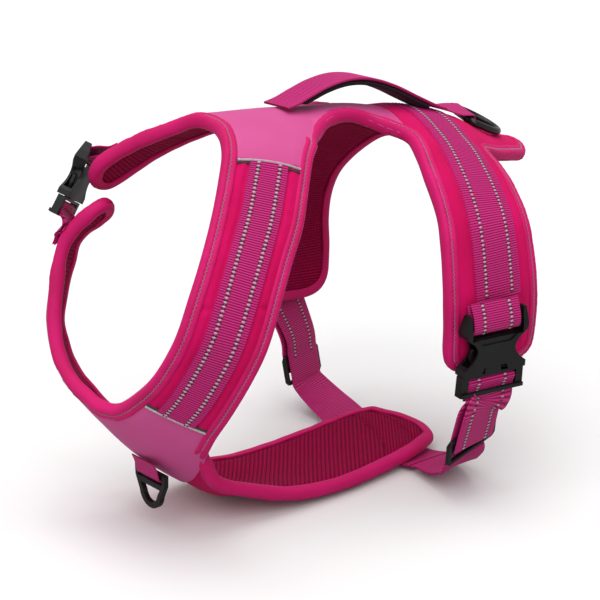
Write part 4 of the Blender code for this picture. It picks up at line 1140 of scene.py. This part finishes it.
def make_keepers():
    bar = unit(np.array(BACK_RING_AXIS))
    reach = np.array(BACK_RING_REACH_DIRECTION)
    reach = unit(reach - bar * (reach @ bar))
    up = -np.cross(bar, reach)
    pivot = listed(BACK_RING_PIVOT)
    turn = [pivot + reach * x + up * y for x, y in arc((0, 0), KEEPER_TURN, 100, -70, 7)]
    start = np.array((0, -1.0, 0))
    sides = [start, (start - bar) / 2, -bar] + [-bar] * len(turn)
    track = FreeTrack(np.vstack([listed(KEEPER_TOP), turn]), sides)
    web("back_ring_keeper_webbing", track, KEEPER_WIDTH, 0.6, -0.6, ["back_ring_keeper"], depth=0.2)
    px, py, pz = FRONT_RING_PIVOT
    turn = [(px + x, py, pz + z) for x, z in arc((0, 0), FRONT_LOOP_TURN, 180, 360, 7)]
    points = listed(FRONT_LOOP_TOP + turn)
    track = FreeTrack(points, [(0, 1, 0)] * len(points))
    web("front_ring_loop_webbing", track, SMALL_WEB, 0.6, -0.6, ["front_ring_loop"], depth=0.2)
    middle = BACK_RING_REACH * 0.42
    bow = [(middle + (BACK_RING_REACH - middle) * math.cos(a), (BACK_RING_HALF_BAR + 2.5) * math.sin(a))
           for a in np.radians(np.linspace(-90, 90, 19))]
    corners = [(0, -BACK_RING_HALF_BAR), (-0.2, -8), (-0.2, 0), (-0.2, 8), (0, BACK_RING_HALF_BAR)]
    outline = corners[::-1] + [(5, -BACK_RING_HALF_BAR - 1.6)] + bow + [(5, BACK_RING_HALF_BAR + 1.6)]
    outline = [(x, y, 0) for x, y in outline + outline[:1]]
    loop = spline(np.array(outline), np.linspace(0, len(outline) - 1, 160)[:-1])
    path = pivot + loop[:, :1] * reach + loop[:, 1:2] * bar
    ring = tube("back_ring_wire", path, BACK_RING_WIRE, WIRE, closed=True)
    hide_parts("back_d_ring")
    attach(ring, "back_d_ring")


def make_piping():
    """Reflective piping along the covers' edges, each with a dark cord on its webbing side as painted shadow in
    the gap under it.
    """
    for name, u, node, away, bow in (("yoke", YOKE_PIPING, "yoke_piping", 1, 0.5),
                                     ("chest", CHEST_PIPING, "chest_piping", -1, 0.0),
                                     ("right_yoke", RIGHT_YOKE_PIPING, None, -1, 0.0),
                                     ("right_chest", RIGHT_CHEST_PIPING, None, 1, 0.0)):
        v = run(0.15, 0.85, 60)
        us = u + bow * (v - 0.5) ** 2
        piece = tube(name + "_piping_cord", NECK.point(us, v) + normal(NECK, us, v) * 4.7, 0.85, PIPING)
        if node:
            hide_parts(node)
        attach(piece, "harness")
        # Painted shadow: a dark cord in the gap just beside the piping.
        beside = us + away * 0.085
        gap_shadow = tube(name + "_piping_shadow_cord", NECK.point(beside, v) + normal(NECK, beside, v) * 4.3, 0.75, SHADOW_GAP_CORD)
        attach(gap_shadow, "harness")


# ---- moulded parts carried over from the CAD model ----
def dress_hardware():
    """Moulded edges and plastic for the CAD model's own hardware."""
    for name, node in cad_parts.items():
        if node.hide_render:
            continue
        node.data.materials.clear()
        node.data.materials.append(PLASTIC)
        weld = node.modifiers.new("weld", "WELD")
        weld.merge_threshold = 0.00001
        bevel = node.modifiers.new("moulded_edge", "BEVEL")
        bevel.width = 0.00055 if "latch" in name else 0.0008
        bevel.segments = 3
        bevel.limit_method = "ANGLE"
        bevel.angle_limit = math.radians(35)
        bevel.harden_normals = True


# ---- studio ----
def soft_light(name, tilt, power, spread):
    """Even light from a wide patch of sky; tilt leans its rays from straight down (degrees about x and y)."""
    data = bpy.data.lights.new(name, "SUN")
    data.energy, data.angle = power, math.radians(spread)
    light = bpy.data.objects.new(name, data)
    light.rotation_euler = (math.radians(tilt[0]), math.radians(tilt[1]), 0)
    bpy.context.scene.collection.objects.link(light)


def make_studio():
    bpy.ops.mesh.primitive_plane_add(size=12, location=(0, 0, -0.0002))
    floor = bpy.context.object
    floor.name = "studio_floor"
    shade = Shade("studio_floor_paper", 0.95, specular=0.0)
    seen = shade.node("LightPath").outputs["Is Camera Ray"]
    shade.colour(shade.mix(seen, (FLOOR, FLOOR, FLOOR), (0.94, 0.935, 0.935)))
    floor.data.materials.append(shade.material)
    world = bpy.data.worlds.new("studio")
    bpy.context.scene.world = world
    world.use_nodes = True
    tree = world.node_tree
    sight = tree.nodes.new("ShaderNodeLightPath").outputs["Is Camera Ray"]
    level = tree.nodes.new("ShaderNodeMapRange")
    level.inputs["To Min"].default_value, level.inputs["To Max"].default_value = SKY, 1.0
    tree.links.new(sight, level.inputs["Value"])
    tree.nodes["Background"].inputs[0].default_value = (1, 1, 1, 1)
    tree.links.new(level.outputs[0], tree.nodes["Background"].inputs[1])
    soft_light("top", (-5, 3), 1.45, 50)
    soft_light("key", (38, -34), 0.85, 40)
    soft_light("front", (6, -42), 0.6, 45)
    bpy.context.scene.view_settings.view_transform = "Standard"


def make_camera():
    """Three-quarter view: 40 degrees round from the left side towards the head end and 18 degrees up."""
    azimuth, elevation, distance = math.radians(-40), math.radians(18), 1.25
    back = Vector((math.sin(azimuth) * math.cos(elevation), -math.cos(azimuth) * math.cos(elevation),
                   math.sin(elevation)))
    data = bpy.data.cameras.new("camera")
    data.sensor_width, data.lens = 36, 112.5     # a long lens, so that the near side isn't enlarged
    camera = bpy.data.objects.new("camera", data)
    aim = Vector((0, 0, 0.126)) - Vector(BASE_MIDDLE) * MM
    camera.location = aim + back * distance
    camera.rotation_euler = (-back).to_track_quat("-Z", "Y").to_euler()
    bpy.context.scene.collection.objects.link(camera)
    bpy.context.scene.camera = camera


make_camera()
make_studio()
make_shoulder()
make_arms()
make_yoke()
make_chest()
make_girth()
make_belly()
make_bindings()
make_stitches()
make_panel_webbing()
make_loops()
make_girth_straps()
make_neck_strap()
make_handle()
make_keepers()
make_piping()
dress_hardware()
